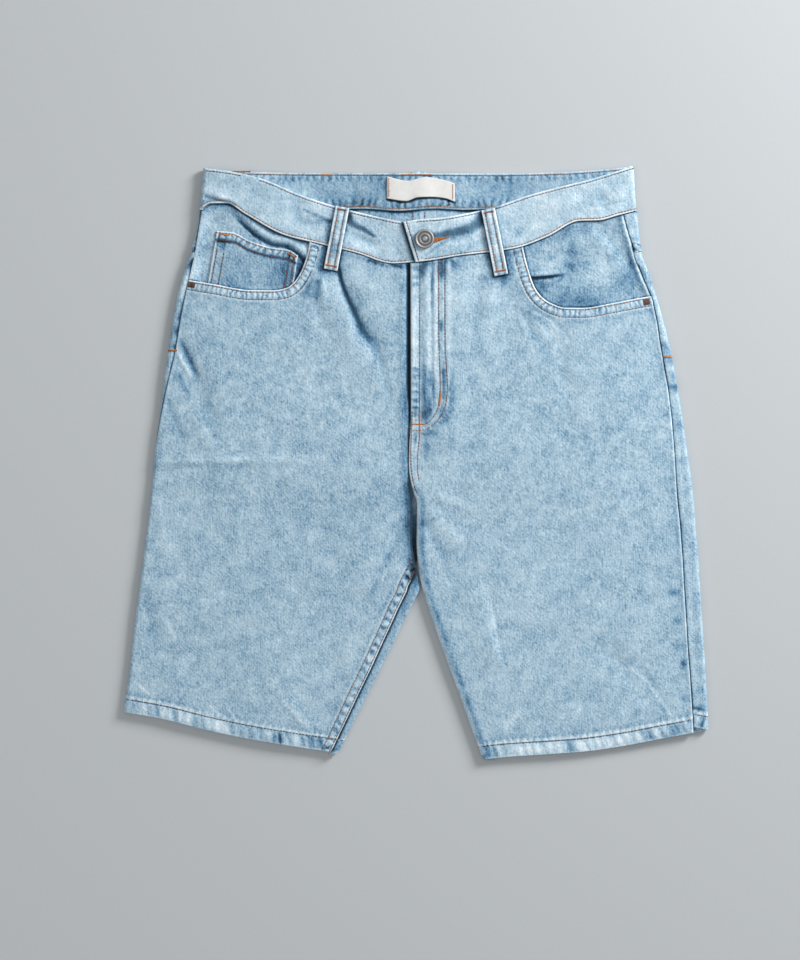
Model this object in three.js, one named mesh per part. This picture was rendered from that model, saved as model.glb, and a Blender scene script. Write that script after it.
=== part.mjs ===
// Denim shorts laid flat on a table, front upward, as the pieces a maker cuts and sews.
// Units are millimetres. X runs across the shorts, Y from the hems to the waist, Z up.
// Left and right in a name are the wearer's, so a right-hand piece lies at minus X.
import * as THREE from 'three';

// The cloth
const CLOTH = 1.2;                 // one layer of denim
const LIGHT_CLOTH = 1.0;           // pocket facings, coin pocket and label
const SEAM_GAP = 0.3;              // clearance between two pieces at a seam
const FOLD_OUTER = 3.0;            // outside radius where a leg turns over at its side
const HEM_DEPTH = 13;              // height of the turned-up hem
const BAND_THICK = 2.8;            // waistband, two layers and their turnings
const LOOP_THICK = 1.5;            // a pressed belt loop
const LOOP_WIDTH = 13;
const LOOP_CLEAR = 0.4;            // a loop's ends above the band and the front
const FACING_DIP = CLOTH / 2 + SEAM_GAP + LIGHT_CLOTH / 2;   // facing below the front
const COIN_DIP = FACING_DIP + LIGHT_CLOTH + SEAM_GAP;        // facing below a coin pocket
const FACING_TOP_GAP = 0.8;        // from a facing's top to the band's lower edge
const FACING_SIDE_GAP = 0.25;      // a facing's extra clearance at the side seam
const DIP_RUN = 10;                // distance from the side seam to the full dip
const FLY_RISE = CLOTH + SEAM_GAP;                // the left front laps over the right
const BAND_RISE = BAND_THICK + SEAM_GAP;          // the band's left end laps over its right
const EDGE_STEP = 0.5;             // least distance between two columns of a wall

// A fold worked out from the radius: the middle of the cloth turns through two quarters.
const FOLD = FOLD_OUTER - CLOTH / 2;
const QUARTER = FOLD * Math.PI / 2;
const EASE = QUARTER - FOLD_OUTER;
const TOP_MIDDLE = FOLD_OUTER + FOLD;             // height of the upper layer's middle
const TOP_FACE = TOP_MIDDLE + CLOTH / 2;
const LOWER_FACE = CLOTH;                         // upper face of the layer on the table
const BAND_FOLD_OUTER = FOLD_OUTER + 0.25;        // the band stands a little proud
const BAND_FOLD = BAND_FOLD_OUTER - BAND_THICK / 2;
const BAND_FACE = 2 * BAND_FOLD_OUTER;

// The two sides: height, outline, and the side seam's distance from the fold along the
// cloth. A seam above zero lies on the upper layer, one below zero has gone underneath.
const SIDE_LEFT = [
  { y: 300, edge: 207.0, seam: 16 },
  { y: 285, edge: 208.6, seam: 15 },
  { y: 245, edge: 212.2, seam: 15 },
  { y: 227, edge: 213.8, seam: 12.5 },
  { y: 204, edge: 216.4, seam: 8.5 },
  { y: 181, edge: 224.4, seam: 8.5 },
  { y: 158, edge: 231.4, seam: 5.6 },
  { y: 147, edge: 234.8, seam: 6.5 },
  { y: 135, edge: 238.0, seam: 7.2 },
  { y: 112, edge: 243.8, seam: 9.4 },
  { y: 66, edge: 252.5, seam: 10.4 },
  { y: 20, edge: 259.4, seam: 12.6 },
  { y: -37, edge: 266.9, seam: 16.2 },
  { y: -83, edge: 270.4, seam: 15.6 },
  { y: -130, edge: 273.8, seam: 16.2 },
  { y: -176, edge: 276.8, seam: 16.3 },
  { y: -222, edge: 279.6, seam: 15.6 },
  { y: -262, edge: 281.2, seam: 15.2 },
];
const SIDE_RIGHT = [
  { y: 300, edge: -203.5, seam: 2.6 },
  { y: 283, edge: -204.8, seam: 2.6 },
  { y: 245, edge: -207.8, seam: 2.6 },
  { y: 227, edge: -210.0, seam: 2.2 },
  { y: 204, edge: -216.2, seam: 4.6 },
  { y: 181, edge: -223.8, seam: 7.2 },
  { y: 147, edge: -232.4, seam: 8.6 },
  { y: 126, edge: -235.8, seam: 8.4 },
  { y: 104, edge: -238.6, seam: 7.2 },
  { y: 75, edge: -242.4, seam: 4.2 },
  { y: 40, edge: -247.2, seam: 1.8 },
  { y: 16, edge: -250.3, seam: 0 },
  { y: -16, edge: -253.6, seam: -3 },
  { y: -55, edge: -257.8, seam: -6 },
  { y: -93, edge: -262.6, seam: -7 },
  { y: -132, edge: -267.8, seam: -7.5 },
  { y: -170, edge: -272.4, seam: -8 },
  { y: -208, edge: -277.0, seam: -8 },
  { y: -245, edge: -281.2, seam: -8 },
];

// The middle: the fold line each piece turns over, and how far it runs past that line.
// A figure below zero stops short of the line, so the piece ends flat, with no turn.
const FLAT_END = -3.9;
const FLY_OVER = [
  { y: 230, fold: -8.6, past: FLAT_END },
  { y: 156, fold: -8.2, past: FLAT_END },
  { y: 40, fold: -7.9, past: FLAT_END },
  { y: 14, fold: -9.6, past: FLAT_END },
  { y: -3, fold: -10.0, past: FLAT_END },
  { y: -16, fold: -8.0, past: -3.5 },
  { y: -27, fold: -3.6, past: -2 },
  { y: -39, fold: 0.5, past: -0.8 },
  { y: -59, fold: 0.3, past: -0.4 },
  { y: -77, fold: 0.1, past: -0.2 },
  { y: -90, fold: 0.9, past: 0 },
  { y: -97, fold: 1.7, past: 0.5 },
  { y: -104, fold: 2.6, past: 3.5 },
  { y: -112, fold: 4.0, past: 8.5 },
  { y: -121, fold: 6.4, past: 10 },
  { y: -141, fold: 12.5, past: 10 },
  { y: -164, fold: 20.2, past: 10 },
  { y: -187, fold: 28.6, past: 10 },
  { y: -210, fold: 36.8, past: 10 },
  { y: -233, fold: 45.2, past: 10 },
  { y: -256, fold: 53.6, past: 10 },
  { y: -287, fold: 65.8, past: 10 },
];
const FLY_UNDER = [
  { y: 230, fold: 7.2, past: FLAT_END },
  { y: 66, fold: 7.0, past: FLAT_END },
  { y: 48, fold: 3.0, past: FLAT_END },
  { y: 36, fold: -4.6, past: FLAT_END },
  { y: -3, fold: -4.4, past: FLAT_END },
  { y: -16, fold: -4.2, past: -3.5 },
  { y: -27, fold: -3.2, past: -2 },
  { y: -40, fold: -2.4, past: -1.5 },
  { y: -60, fold: -2.5, past: -1.5 },
  { y: -77, fold: -2.4, past: -2 },
  { y: -90, fold: -0.9, past: -4 },
  { y: -97, fold: 0.0, past: -7 },
  { y: -104, fold: 0.9, past: -9.6 },
  { y: -112, fold: 2.4, past: -10.2 },
  { y: -121, fold: 3.6, past: -10 },
  { y: -127, fold: 1.2, past: -9.4 },
  { y: -141, fold: -5.9, past: -8.4 },
  { y: -153, fold: -11.8, past: -7.6 },
  { y: -176, fold: -23.6, past: -6.4 },
  { y: -199, fold: -34.8, past: -5.4 },
  { y: -222, fold: -46.6, past: -4.6 },
  { y: -245, fold: -58.2, past: -3.8 },
  { y: -280, fold: -75.7, past: -3.4 },
];
// The backs meet flat at the centre-back seam, and part at the crotch to turn up round
// each leg: the rows between the flat seam and the leg, whose fold the fronts' tables give.
const CENTRE_BACK = 2.9;
const FLAT_TO_EDGE = 3.13;         // how far a piece that ends flat stops from its fold
const BACK_LEFT_PARTS = [
  { y: 300, fold: CENTRE_BACK + SEAM_GAP / 2 - FLAT_TO_EDGE, past: FLAT_END },
  { y: -80, fold: CENTRE_BACK + SEAM_GAP / 2 - FLAT_TO_EDGE, past: FLAT_END },
  { y: -90, fold: 1.3, past: -3 },
  { y: -97, fold: 1.9, past: -2.6 },
];
const BACK_RIGHT_PARTS = [
  { y: 300, fold: CENTRE_BACK - SEAM_GAP / 2 + FLAT_TO_EDGE, past: FLAT_END },
  { y: -80, fold: CENTRE_BACK - SEAM_GAP / 2 + FLAT_TO_EDGE, past: FLAT_END },
  { y: -90, fold: 2.4, past: -2.4 },
  { y: -97, fold: 0.0, past: 5 },
];
const ROUND_LEG = -100;            // height below which each back follows its own leg

// The pocket mouths, by their distance across: the left one, then the right one.
const MOUTH_LEFT = [
  { x: 102.7, y: 207.0 }, { x: 105.4, y: 195.5 }, { x: 108.8, y: 183.4 },
  { x: 111.8, y: 174.0 }, { x: 116.0, y: 165.6 }, { x: 122.0, y: 158.6 },
  { x: 129.8, y: 153.6 }, { x: 143.0, y: 149.4 }, { x: 160.0, y: 149.2 },
  { x: 186.0, y: 153.2 }, { x: 211.6, y: 158.2 }, { x: 240.0, y: 163.0 },
];
const MOUTH_RIGHT = [
  { x: -235.0, y: 179.5 }, { x: -217.4, y: 175.9 }, { x: -192.0, y: 171.6 },
  { x: -176.0, y: 168.4 }, { x: -160.3, y: 166.3 }, { x: -136.3, y: 166.1 },
  { x: -124.6, y: 168.4 }, { x: -117.4, y: 173.6 }, { x: -112.0, y: 181.4 },
  { x: -108.0, y: 190.0 }, { x: -104.6, y: 200.6 }, { x: -102.0, y: 211.4 },
];
// The facings' lower edges, a little past each mouth.
const FACING_LEFT_EDGE = [
  { x: 92.0, y: 199.0 }, { x: 97.0, y: 181.0 }, { x: 104.0, y: 160.0 },
  { x: 114.0, y: 147.5 }, { x: 128.0, y: 140.5 }, { x: 150.0, y: 138.0 },
  { x: 186.0, y: 142.5 }, { x: 211.0, y: 147.0 },
];
const FACING_RIGHT_EDGE = [
  { x: -205.0, y: 163.5 }, { x: -176.0, y: 157.5 }, { x: -150.0, y: 155.2 },
  { x: -128.0, y: 156.6 }, { x: -113.0, y: 163.5 }, { x: -103.0, y: 176.0 },
  { x: -97.0, y: 190.0 }, { x: -92.0, y: 205.0 },
];

// The waistband in sections: upper and lower edge of each, from the side to the front end.
const BAND_LEFT = [
  { topX: 208.4, topY: 285.0, lowX: 211.8, lowY: 242.4 },
  { topX: 187.2, topY: 278.4, lowX: 194.5, lowY: 238.1 },
  { topX: 165.1, topY: 271.7, lowX: 175.7, lowY: 233.2 },
  { topX: 143.0, topY: 266.4, lowX: 157.0, lowY: 232.6 },
  { topX: 108.5, topY: 257.3, lowX: 125.8, lowY: 217.5 },
  { topX: 77.8, topY: 246.7, lowX: 96.0, lowY: 206.6 },
  { topX: 57.3, topY: 241.5, lowX: 71.0, lowY: 202.9 },
  { topX: 23.0, topY: 235.2, lowX: 40.0, lowY: 199.0 },
  { topX: 3.8, topY: 233.8, lowX: 16.0, lowY: 194.9 },
  { topX: -12.1, topY: 231.2, lowX: -0.4, lowY: 193.0 },
];
const BAND_RIGHT = [
  { topX: -204.6, topY: 283.2, lowX: -207.8, lowY: 243.2 },
  { topX: -190.0, topY: 281.6, lowX: -197.0, lowY: 249.6 },
  { topX: -168.0, topY: 278.0, lowX: -182.0, lowY: 249.8 },
  { topX: -146.0, topY: 272.2, lowX: -164.0, lowY: 239.4 },
  { topX: -111.4, topY: 257.8, lowX: -127.0, lowY: 219.4 },
  { topX: -76.8, topY: 246.4, lowX: -92.2, lowY: 210.6 },
  { topX: -44.2, topY: 238.2, lowX: -58.0, lowY: 202.2 },
  { topX: -12.5, topY: 231.4, lowX: -22.0, lowY: 191.8 },
  { topX: 16.0, topY: 227.2, lowX: 3.4, lowY: 193.8 },
];
const BAND_BACK = [
  { topX: -204.6, topY: 283.2, lowX: -207.8, lowY: 243.2 },
  { topX: -165.0, topY: 279.8, lowX: -166.0, lowY: 244.6 },
  { topX: -111.0, topY: 278.9, lowX: -111.0, lowY: 244.8 },
  { topX: 0.0, topY: 278.4, lowX: 0.0, lowY: 243.6 },
  { topX: 80.0, topY: 278.4, lowX: 80.0, lowY: 244.4 },
  { topX: 142.0, topY: 279.6, lowX: 143.0, lowY: 244.2 },
  { topX: 180.0, topY: 282.0, lowX: 182.0, lowY: 243.6 },
  { topX: 208.4, topY: 285.0, lowX: 211.8, lowY: 242.4 },
];

// The hems, by their distance across.
const HEM_RIGHT = [
  { x: -300.0, y: -236.0 }, { x: -280.8, y: -239.2 }, { x: -242.0, y: -246.2 },
  { x: -203.5, y: -256.0 }, { x: -165.1, y: -264.2 }, { x: -126.7, y: -270.8 },
  { x: -88.3, y: -276.6 }, { x: -60.0, y: -280.6 },
];
const HEM_LEFT = [
  { x: 50.0, y: -286.0 }, { x: 66.0, y: -284.8 }, { x: 84.5, y: -282.6 },
  { x: 122.9, y: -280.0 }, { x: 161.3, y: -277.2 }, { x: 199.7, y: -271.8 },
  { x: 238.1, y: -264.4 }, { x: 281.3, y: -256.6 }, { x: 300.0, y: -253.0 },
];
const YOKE_AT_CENTRE = 176;        // the yoke seam dips to the centre back
const YOKE_AT_SIDE = 201;
const SIDE_REACH = 212;            // half-width where the yoke seam meets the side

// The largest folds of the upper layer: from, to, half-width and rise (below 0, a trough).
const CREASES = [
  { x0: -78, y0: 184, x1: -36, y1: 104, half: 9, rise: -1.3 },
  { x0: -92, y0: 176, x1: -54, y1: 92, half: 11, rise: 0.9 },
  { x0: -228, y0: 112, x1: -192, y1: 36, half: 9, rise: -1.1 },
  { x0: -252, y0: 1, x1: -118, y1: 2, half: 5, rise: 0.8 },
  { x0: 122, y0: 138, x1: 154, y1: 56, half: 13, rise: -1.0 },
  { x0: 84, y0: 176, x1: 92, y1: 96, half: 12, rise: -0.7 },
  { x0: 52, y0: -120, x1: 78, y1: -196, half: 10, rise: 0.8 },
  { x0: -126, y0: -228, x1: -100, y1: -256, half: 9, rise: 0.9 },
  { x0: 176, y0: -170, x1: 226, y1: -228, half: 10, rise: -0.8 },
];

// What lies underneath and lifts the cloth above it: back pockets and back loops.
const POCKET = { wide: 132, narrow: 112, tall: 128, point: 18, top: 158 };
const POCKET_AT = { right: -104, left: 110 };
const POCKET_LIFT = CLOTH + SEAM_GAP;
const LOOP_LIFT = LOOP_THICK + SEAM_GAP;
const BACK_LOOPS = { right: -168, centre: CENTRE_BACK, left: 170 };
const BACK_LOOP_TOP = 280;
const BACK_LOOP_LONG = 58;
const POCKET_MARGIN = 16;
const POCKET_RAMP = 66;
const LOOP_MARGIN = 12;
const LOOP_RAMP = 46;

// Front loops: middle of the upper and of the lower end.
const FRONT_LOOPS = {
  right: { x0: -70.6, y0: 245.8, x1: -82.0, y1: 185.6 },
  left: { x0: 69.2, y0: 243.6, x1: 81.8, y1: 180.6 },
};
const LOOP_ARCH = 1.4;

const BUTTON = { x: 8.2, y: 214.9, radius: 8.8 };
const LABEL_TOP = [
  { x: -27.6, y: 275.2 }, { x: -7.7, y: 270.9 }, { x: 8.9, y: 274.6 },
  { x: 24.6, y: 272.3 }, { x: 37.0, y: 268.4 },
];
const LABEL_LOW = [
  { x: -27.6, y: 254.3 }, { x: -9.6, y: 251.9 }, { x: 2.0, y: 255.4 },
  { x: 16.0, y: 255.8 }, { x: 27.6, y: 254.6 }, { x: 37.0, y: 251.4 },
];
const LABEL_WAVE = 1.1;

const lerp = (a, b, t) => a + (b - a) * t;
const clamp = (v, low, high) => Math.min(high, Math.max(low, v));
const smooth = (t) => {
  const k = clamp(t, 0, 1);
  return k * k * (3 - 2 * k);
};

// Reads one column of a table at a place on its key column, with a smooth curve between
// its rows (cubic pieces whose slopes never overshoot a neighbouring row).
function read(rows, key, column, at) {
  const rising = rows[rows.length - 1][key] > rows[0][key];
  const order = rising ? rows : [...rows].reverse();
  const last = order.length - 1;
  if (at <= order[0][key]) return order[0][column];
  if (at >= order[last][key]) return order[last][column];
  let i = 0;
  while (at > order[i + 1][key]) i += 1;
  const slope = (k) => (order[k + 1][column] - order[k][column]) /
    (order[k + 1][key] - order[k][key]);
  const tangent = (k) => {
    if (k === 0) return slope(0);
    if (k === last) return slope(last - 1);
    const before = slope(k - 1);
    const after = slope(k);
    return before * after <= 0 ? 0 : 2 * before * after / (before + after);
  };
  const span = order[i + 1][key] - order[i][key];
  const t = (at - order[i][key]) / span;
  const a = order[i][column];
  const b = order[i + 1][column];
  return a * (1 + 2 * t) * (1 - t) ** 2 + b * t * t * (3 - 2 * t) +
    tangent(i) * span * t * (1 - t) ** 2 - tangent(i + 1) * span * t * t * (1 - t);
}

// Distance outside an upright box, for the lift over what lies beneath the cloth.
function outsideBox(x, y, box) {
  const dx = Math.max(Math.abs(x - box.x) - box.halfX, 0);
  const dy = Math.max(Math.abs(y - box.y) - box.halfY, 0);
  return Math.hypot(dx, dy);
}
const LIFTS = [
  ...Object.values(POCKET_AT).map((x) => ({
    x, y: POCKET.top - (POCKET.tall + POCKET.point) / 2,
    halfX: POCKET.wide / 2, halfY: (POCKET.tall + POCKET.point) / 2,
    rise: POCKET_LIFT, margin: POCKET_MARGIN, ramp: POCKET_RAMP,
  })),
  ...Object.values(BACK_LOOPS).map((x) => ({
    x, y: BACK_LOOP_TOP - BACK_LOOP_LONG / 2,
    halfX: LOOP_WIDTH / 2, halfY: BACK_LOOP_LONG / 2,
    rise: LOOP_LIFT, margin: LOOP_MARGIN, ramp: LOOP_RAMP,
  })),
];
const lift = (x, y) => Math.max(...LIFTS.map(
  (box) => box.rise * (1 - smooth((outsideBox(x, y, box) - box.margin) / box.ramp))));

// Height that the folds add to the upper layer at a place.
function creases(x, y) {
  return CREASES.reduce((sum, fold) => {
    const dx = fold.x1 - fold.x0;
    const dy = fold.y1 - fold.y0;
    const long = Math.hypot(dx, dy);
    const t = clamp(((x - fold.x0) * dx + (y - fold.y0) * dy) / long ** 2, -0.2, 1.2);
    const off = Math.hypot(x - fold.x0 - dx * t, y - fold.y0 - dy * t);
    const fade = smooth((t + 0.15) / 0.3) * smooth((1.15 - t) / 0.3);
    return sum + fold.rise * fade * Math.exp(-((off / fold.half) ** 2));
  }, 0);
}

// Every point goes through this: folds move the upper layer, lifts move all layers.
function settle(x, y, z) {
  const share = clamp((z - LOWER_FACE) / (TOP_MIDDLE - LOWER_FACE), 0, 1);
  return new THREE.Vector3(x, y, z + creases(x, y) * share + lift(x, y));
}

// Closed wall between two grids of points, given as rows of columns, outer face first.
function wall(outer, inner) {
  const rows = outer.length;
  const cols = outer[0].length;
  const positions = [];
  for (const grid of [outer, inner]) {
    for (const row of grid) row.forEach((p) => positions.push(p.x, p.y, p.z));
  }
  const at = (side, r, c) => side * rows * cols + r * cols + c;
  const index = [];
  const quad = (a, b, c, d) => index.push(a, b, c, a, c, d);
  for (let r = 0; r < rows - 1; r += 1) {
    for (let c = 0; c < cols - 1; c += 1) {
      quad(at(0, r, c), at(0, r + 1, c), at(0, r + 1, c + 1), at(0, r, c + 1));
      quad(at(1, r, c), at(1, r, c + 1), at(1, r + 1, c + 1), at(1, r + 1, c));
    }
    quad(at(0, r, 0), at(1, r, 0), at(1, r + 1, 0), at(0, r + 1, 0));
    quad(at(0, r, cols - 1), at(0, r + 1, cols - 1), at(1, r + 1, cols - 1),
      at(1, r, cols - 1));
  }
  for (let c = 0; c < cols - 1; c += 1) {
    quad(at(0, 0, c), at(0, 0, c + 1), at(1, 0, c + 1), at(1, 0, c));
    quad(at(0, rows - 1, c), at(1, rows - 1, c), at(1, rows - 1, c + 1),
      at(0, rows - 1, c + 1));
  }
  return closed(positions, index);
}

// Geometry from points and faces, turned outward if the faces wind inward.
function closed(positions, index) {
  let volume = 0;
  const point = (i) => new THREE.Vector3().fromArray(positions, 3 * i);
  for (let i = 0; i < index.length; i += 3) {
    volume += point(index[i]).dot(point(index[i + 1]).cross(point(index[i + 2])));
  }
  if (volume < 0) {
    for (let i = 0; i < index.length; i += 3) {
      [index[i + 1], index[i + 2]] = [index[i + 2], index[i + 1]];
    }
  }
  const geometry = new THREE.BufferGeometry();
  geometry.setAttribute('position', new THREE.Float32BufferAttribute(positions, 3));
  geometry.setIndex(index);
  geometry.computeVertexNormals();
  return geometry;
}

// One end of a piece: the fold line near it and where the piece ends, unrolled flat.
const turned = (side, foldAt, pastAt) => ({
  fold: foldAt,
  end: (y) => foldAt(y) + side * (EASE + pastAt(y)),
});
const FAR = 400;
const plain = (side, xAt) => ({ fold: (y) => xAt(y) + side * FAR, end: xAt });

// Where a point of a piece's flat pattern lies once the piece is folded round the leg.
function onCloth(piece, s, y) {
  const toLeft = s - (piece.low.fold(y) - EASE);
  const toRight = piece.high.fold(y) + EASE - s;
  const side = toLeft < toRight ? -1 : 1;
  const along = Math.min(toLeft, toRight);
  const fold = side < 0 ? piece.low.fold(y) : piece.high.fold(y);
  if (along >= QUARTER) {
    return { x: s, z: FOLD_OUTER + piece.layer * FOLD, nx: 0, nz: piece.layer };
  }
  if (along <= -QUARTER) {
    return {
      x: fold - side * (FOLD_OUTER - along - QUARTER),
      z: FOLD_OUTER - piece.layer * FOLD, nx: 0, nz: -piece.layer,
    };
  }
  const turn = along / FOLD;
  return {
    x: fold - side * (FOLD_OUTER - FOLD * Math.cos(turn)),
    z: FOLD_OUTER + piece.layer * FOLD * Math.sin(turn),
    nx: side * Math.cos(turn), nz: piece.layer * Math.sin(turn),
  };
}

// Columns of a piece at a height: its ends, its fold marks and its columns between.
const TURN_MARKS = [-QUARTER, -QUARTER / 2, 0, QUARTER / 2, QUARTER, 12];
function columnsAt(piece, y) {
  const lowApex = piece.low.fold(y) - EASE;
  const highApex = piece.high.fold(y) + EASE;
  const lowEnd = piece.low.end(y);
  const highEnd = piece.high.end(y);
  const lowMarks = piece.lowTurns ? TURN_MARKS.map((a) => lowApex + a) : [];
  const highMarks = piece.highTurns ? TURN_MARKS.map((a) => highApex - a).reverse() : [];
  const from = lowMarks.length ? Math.max(lowMarks.at(-1), lowEnd) : lowEnd;
  const to = highMarks.length ? Math.min(highMarks[0], highEnd) : highEnd;
  const upper = piece.blend ? smooth((y - piece.blend.from) / piece.blend.over) : 0;
  const between = piece.middle.map((m) => lerp(lerp(from, to, m.share), m.x ?? 0, upper));
  const marks = [lowEnd, ...lowMarks, ...between, ...highMarks, highEnd];
  for (let k = 1; k < marks.length; k += 1) {
    marks[k] = Math.max(marks[k], marks[k - 1] + EDGE_STEP);
  }
  marks[marks.length - 1] = highEnd;
  for (let k = marks.length - 2; k >= 0; k -= 1) {
    marks[k] = Math.min(marks[k], marks[k + 1] - EDGE_STEP);
  }
  return marks;
}

// Where a column of a piece meets an edge given as a height for each place across.
function meet(piece, column, edge, guess) {
  let y = guess;
  for (let i = 0; i < 24; i += 1) y = lerp(y, edge(columnsAt(piece, y)[column]), 0.7);
  return y;
}

// Heights of a column's points: evenly to the first shared height, then the shared
// heights, so that neighbours meet at the same places, then the turned-up hem.
function heightsOf(piece, top, low) {
  const hemTop = low + (piece.hem ? HEM_DEPTH + 1 : 0);
  const shared = piece.heights ?? [];
  const first = shared.length ? shared[0] : hemTop;
  const rows = Array.from({ length: piece.steps + 1 }, (_, i) => lerp(top, first, i / piece.steps));
  if (shared.length) rows.push(...shared.slice(1), hemTop);
  if (piece.hem) rows.push(low + HEM_DEPTH, low);
  return rows;
}

// A cut piece of cloth, from its flat pattern to a wall folded round the leg.
function clothPiece(piece) {
  const count = columnsAt(piece, piece.guessTop).length;
  const columns = Array.from({ length: count }, (_, k) => heightsOf(piece,
    meet(piece, k, piece.top, piece.guessTop), meet(piece, k, piece.bottom, piece.guessLow)));
  const lines = columns[0].length;
  const outer = [];
  const inner = [];
  for (let r = 0; r < lines; r += 1) {
    const inHem = piece.hem && r >= lines - 2;
    const outerRow = [];
    const innerRow = [];
    for (let k = 0; k < count; k += 1) {
      const y = columns[k][r];
      const s = columnsAt(piece, y)[k];
      const place = onCloth(piece, s, y);
      const shift = -(piece.dip ? piece.dip(s, y) : 0);
      const rise = piece.rise ? piece.rise(place.x, y) : 0;
      const out = shift + piece.thick / 2;
      const back = shift - piece.thick / 2 - (inHem ? CLOTH : 0);
      outerRow.push(settle(place.x + place.nx * out, y, place.z + place.nz * out + rise));
      innerRow.push(settle(place.x + place.nx * back, y, place.z + place.nz * back + rise));
    }
    outer.push(outerRow);
    inner.push(innerRow);
  }
  return wall(outer, inner);
}

// Edges shared by neighbouring pieces
const leftEdge = (y) => read(SIDE_LEFT, 'y', 'edge', y);
const rightEdge = (y) => read(SIDE_RIGHT, 'y', 'edge', y);
const leftSeam = (y) => read(SIDE_LEFT, 'y', 'seam', y);
const rightSeam = (y) => read(SIDE_RIGHT, 'y', 'seam', y);
const bandLowLeft = (x) => read(BAND_LEFT, 'lowX', 'lowY', x);
const bandLowRight = (x) => read(BAND_RIGHT, 'lowX', 'lowY', x);
const bandLowBack = (x) => read(BAND_BACK, 'lowX', 'lowY', x);
const yokeSeam = (x) => lerp(YOKE_AT_CENTRE, YOKE_AT_SIDE,
  Math.abs(x - CENTRE_BACK) / SIDE_REACH);
const even = (count) => Array.from({ length: count },
  (_, i) => ({ share: (i + 1) / (count + 1) }));
const placed = (list) => list.map((x, i) => ({ x, share: (i + 1) / (list.length + 1) }));

// Heights that the fronts and backs share. They crowd round the crotch.
const HEIGHTS = [140, 116, 84, 48, 24, 4, -14, -30, -56, -80, -90, -97, -104, -112, -121, -127,
  -140, -166, -192, -214];

const half = SEAM_GAP / 2;
const frontLeft = {
  layer: 1, thick: CLOTH, hem: true, heights: HEIGHTS, steps: 2, guessTop: 190, guessLow: -270,
  low: turned(-1, (y) => read(FLY_OVER, 'y', 'fold', y), (y) => read(FLY_OVER, 'y', 'past', y)),
  high: turned(1, leftEdge, (y) => -leftSeam(y) - half),
  lowTurns: true, blend: { from: 40, over: 110 },
  middle: placed([18, 42, 66, 90, 102.7, 105.6, 110, 117, 129, 150, 178, 206]),
  top: (x) => (x > MOUTH_LEFT[0].x ? read(MOUTH_LEFT, 'x', 'y', x) : bandLowLeft(x)) - SEAM_GAP,
  bottom: (x) => read(HEM_LEFT, 'x', 'y', x),
  rise: (x, y) => FLY_RISE * smooth((62 - x) / 34) * smooth((y - 6) / 26),
};
const frontRight = {
  layer: 1, thick: CLOTH, hem: true, heights: HEIGHTS, steps: 2, guessTop: 190, guessLow: -265,
  low: turned(-1, rightEdge, (y) => -rightSeam(y) - half),
  high: turned(1, (y) => read(FLY_UNDER, 'y', 'fold', y), (y) => read(FLY_UNDER, 'y', 'past', y)),
  lowTurns: true, highTurns: true, blend: { from: 40, over: 110 },
  middle: placed([-192, -162, -138, -125, -116, -108.6, -104.2, -101.9, -80, -58, -42, -30, -20]),
  top: (x) => (x < MOUTH_RIGHT.at(-1).x
    ? read(MOUTH_RIGHT, 'x', 'y', x) : bandLowRight(x)) - SEAM_GAP,
  bottom: (x) => read(HEM_RIGHT, 'x', 'y', x),
};

// A back's inner end: its own rows down to the crotch, then the seam that its front gives.
function backInner(side, parts, leg) {
  const from = (column, y, sign, gap) => (y > ROUND_LEG ? read(parts, 'y', column, y)
    : sign * read(leg, 'y', column, y) - gap);
  return turned(side, (y) => from('fold', y, 1, 0), (y) => from('past', y, -1, SEAM_GAP));
}
const backLeftInner = backInner(-1, BACK_LEFT_PARTS, FLY_OVER);
const backRightInner = backInner(1, BACK_RIGHT_PARTS, FLY_UNDER);
const backLeftOuter = turned(1, leftEdge, (y) => leftSeam(y) - half);
const backRightOuter = turned(-1, rightEdge, (y) => rightSeam(y) - half);

const backLeft = {
  layer: -1, thick: CLOTH, hem: true, heights: HEIGHTS, steps: 3, guessTop: 180, guessLow: -270,
  low: backLeftInner, high: backLeftOuter, lowTurns: true, highTurns: true,
  middle: even(6),
  top: (x) => yokeSeam(x) - half,
  bottom: (x) => read(HEM_LEFT, 'x', 'y', x),
};
const backRight = {
  layer: -1, thick: CLOTH, hem: true, heights: HEIGHTS, steps: 3, guessTop: 180, guessLow: -265,
  low: backRightOuter, high: backRightInner, lowTurns: true, highTurns: true,
  middle: even(6),
  top: (x) => yokeSeam(x) - half,
  bottom: (x) => read(HEM_RIGHT, 'x', 'y', x),
};
const yokeBase = {
  layer: -1, thick: CLOTH, steps: 4, middle: even(8), guessTop: 240, guessLow: 190,
  bottom: (x) => yokeSeam(x) + half,
};
// Past the side the yoke meets the front of the band, whose lower edge slopes there.
const yokeLeft = {
  ...yokeBase, low: backLeftInner, high: backLeftOuter, highTurns: true,
  top: (x) => bandLowBack(Math.min(x, BAND_BACK.at(-1).lowX)) - SEAM_GAP -
    0.26 * Math.max(0, x - BAND_BACK.at(-1).lowX),
};
const yokeRight = {
  ...yokeBase, low: backRightOuter, high: backRightInner, lowTurns: true,
  top: (x) => bandLowBack(x) - SEAM_GAP,
};

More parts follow.
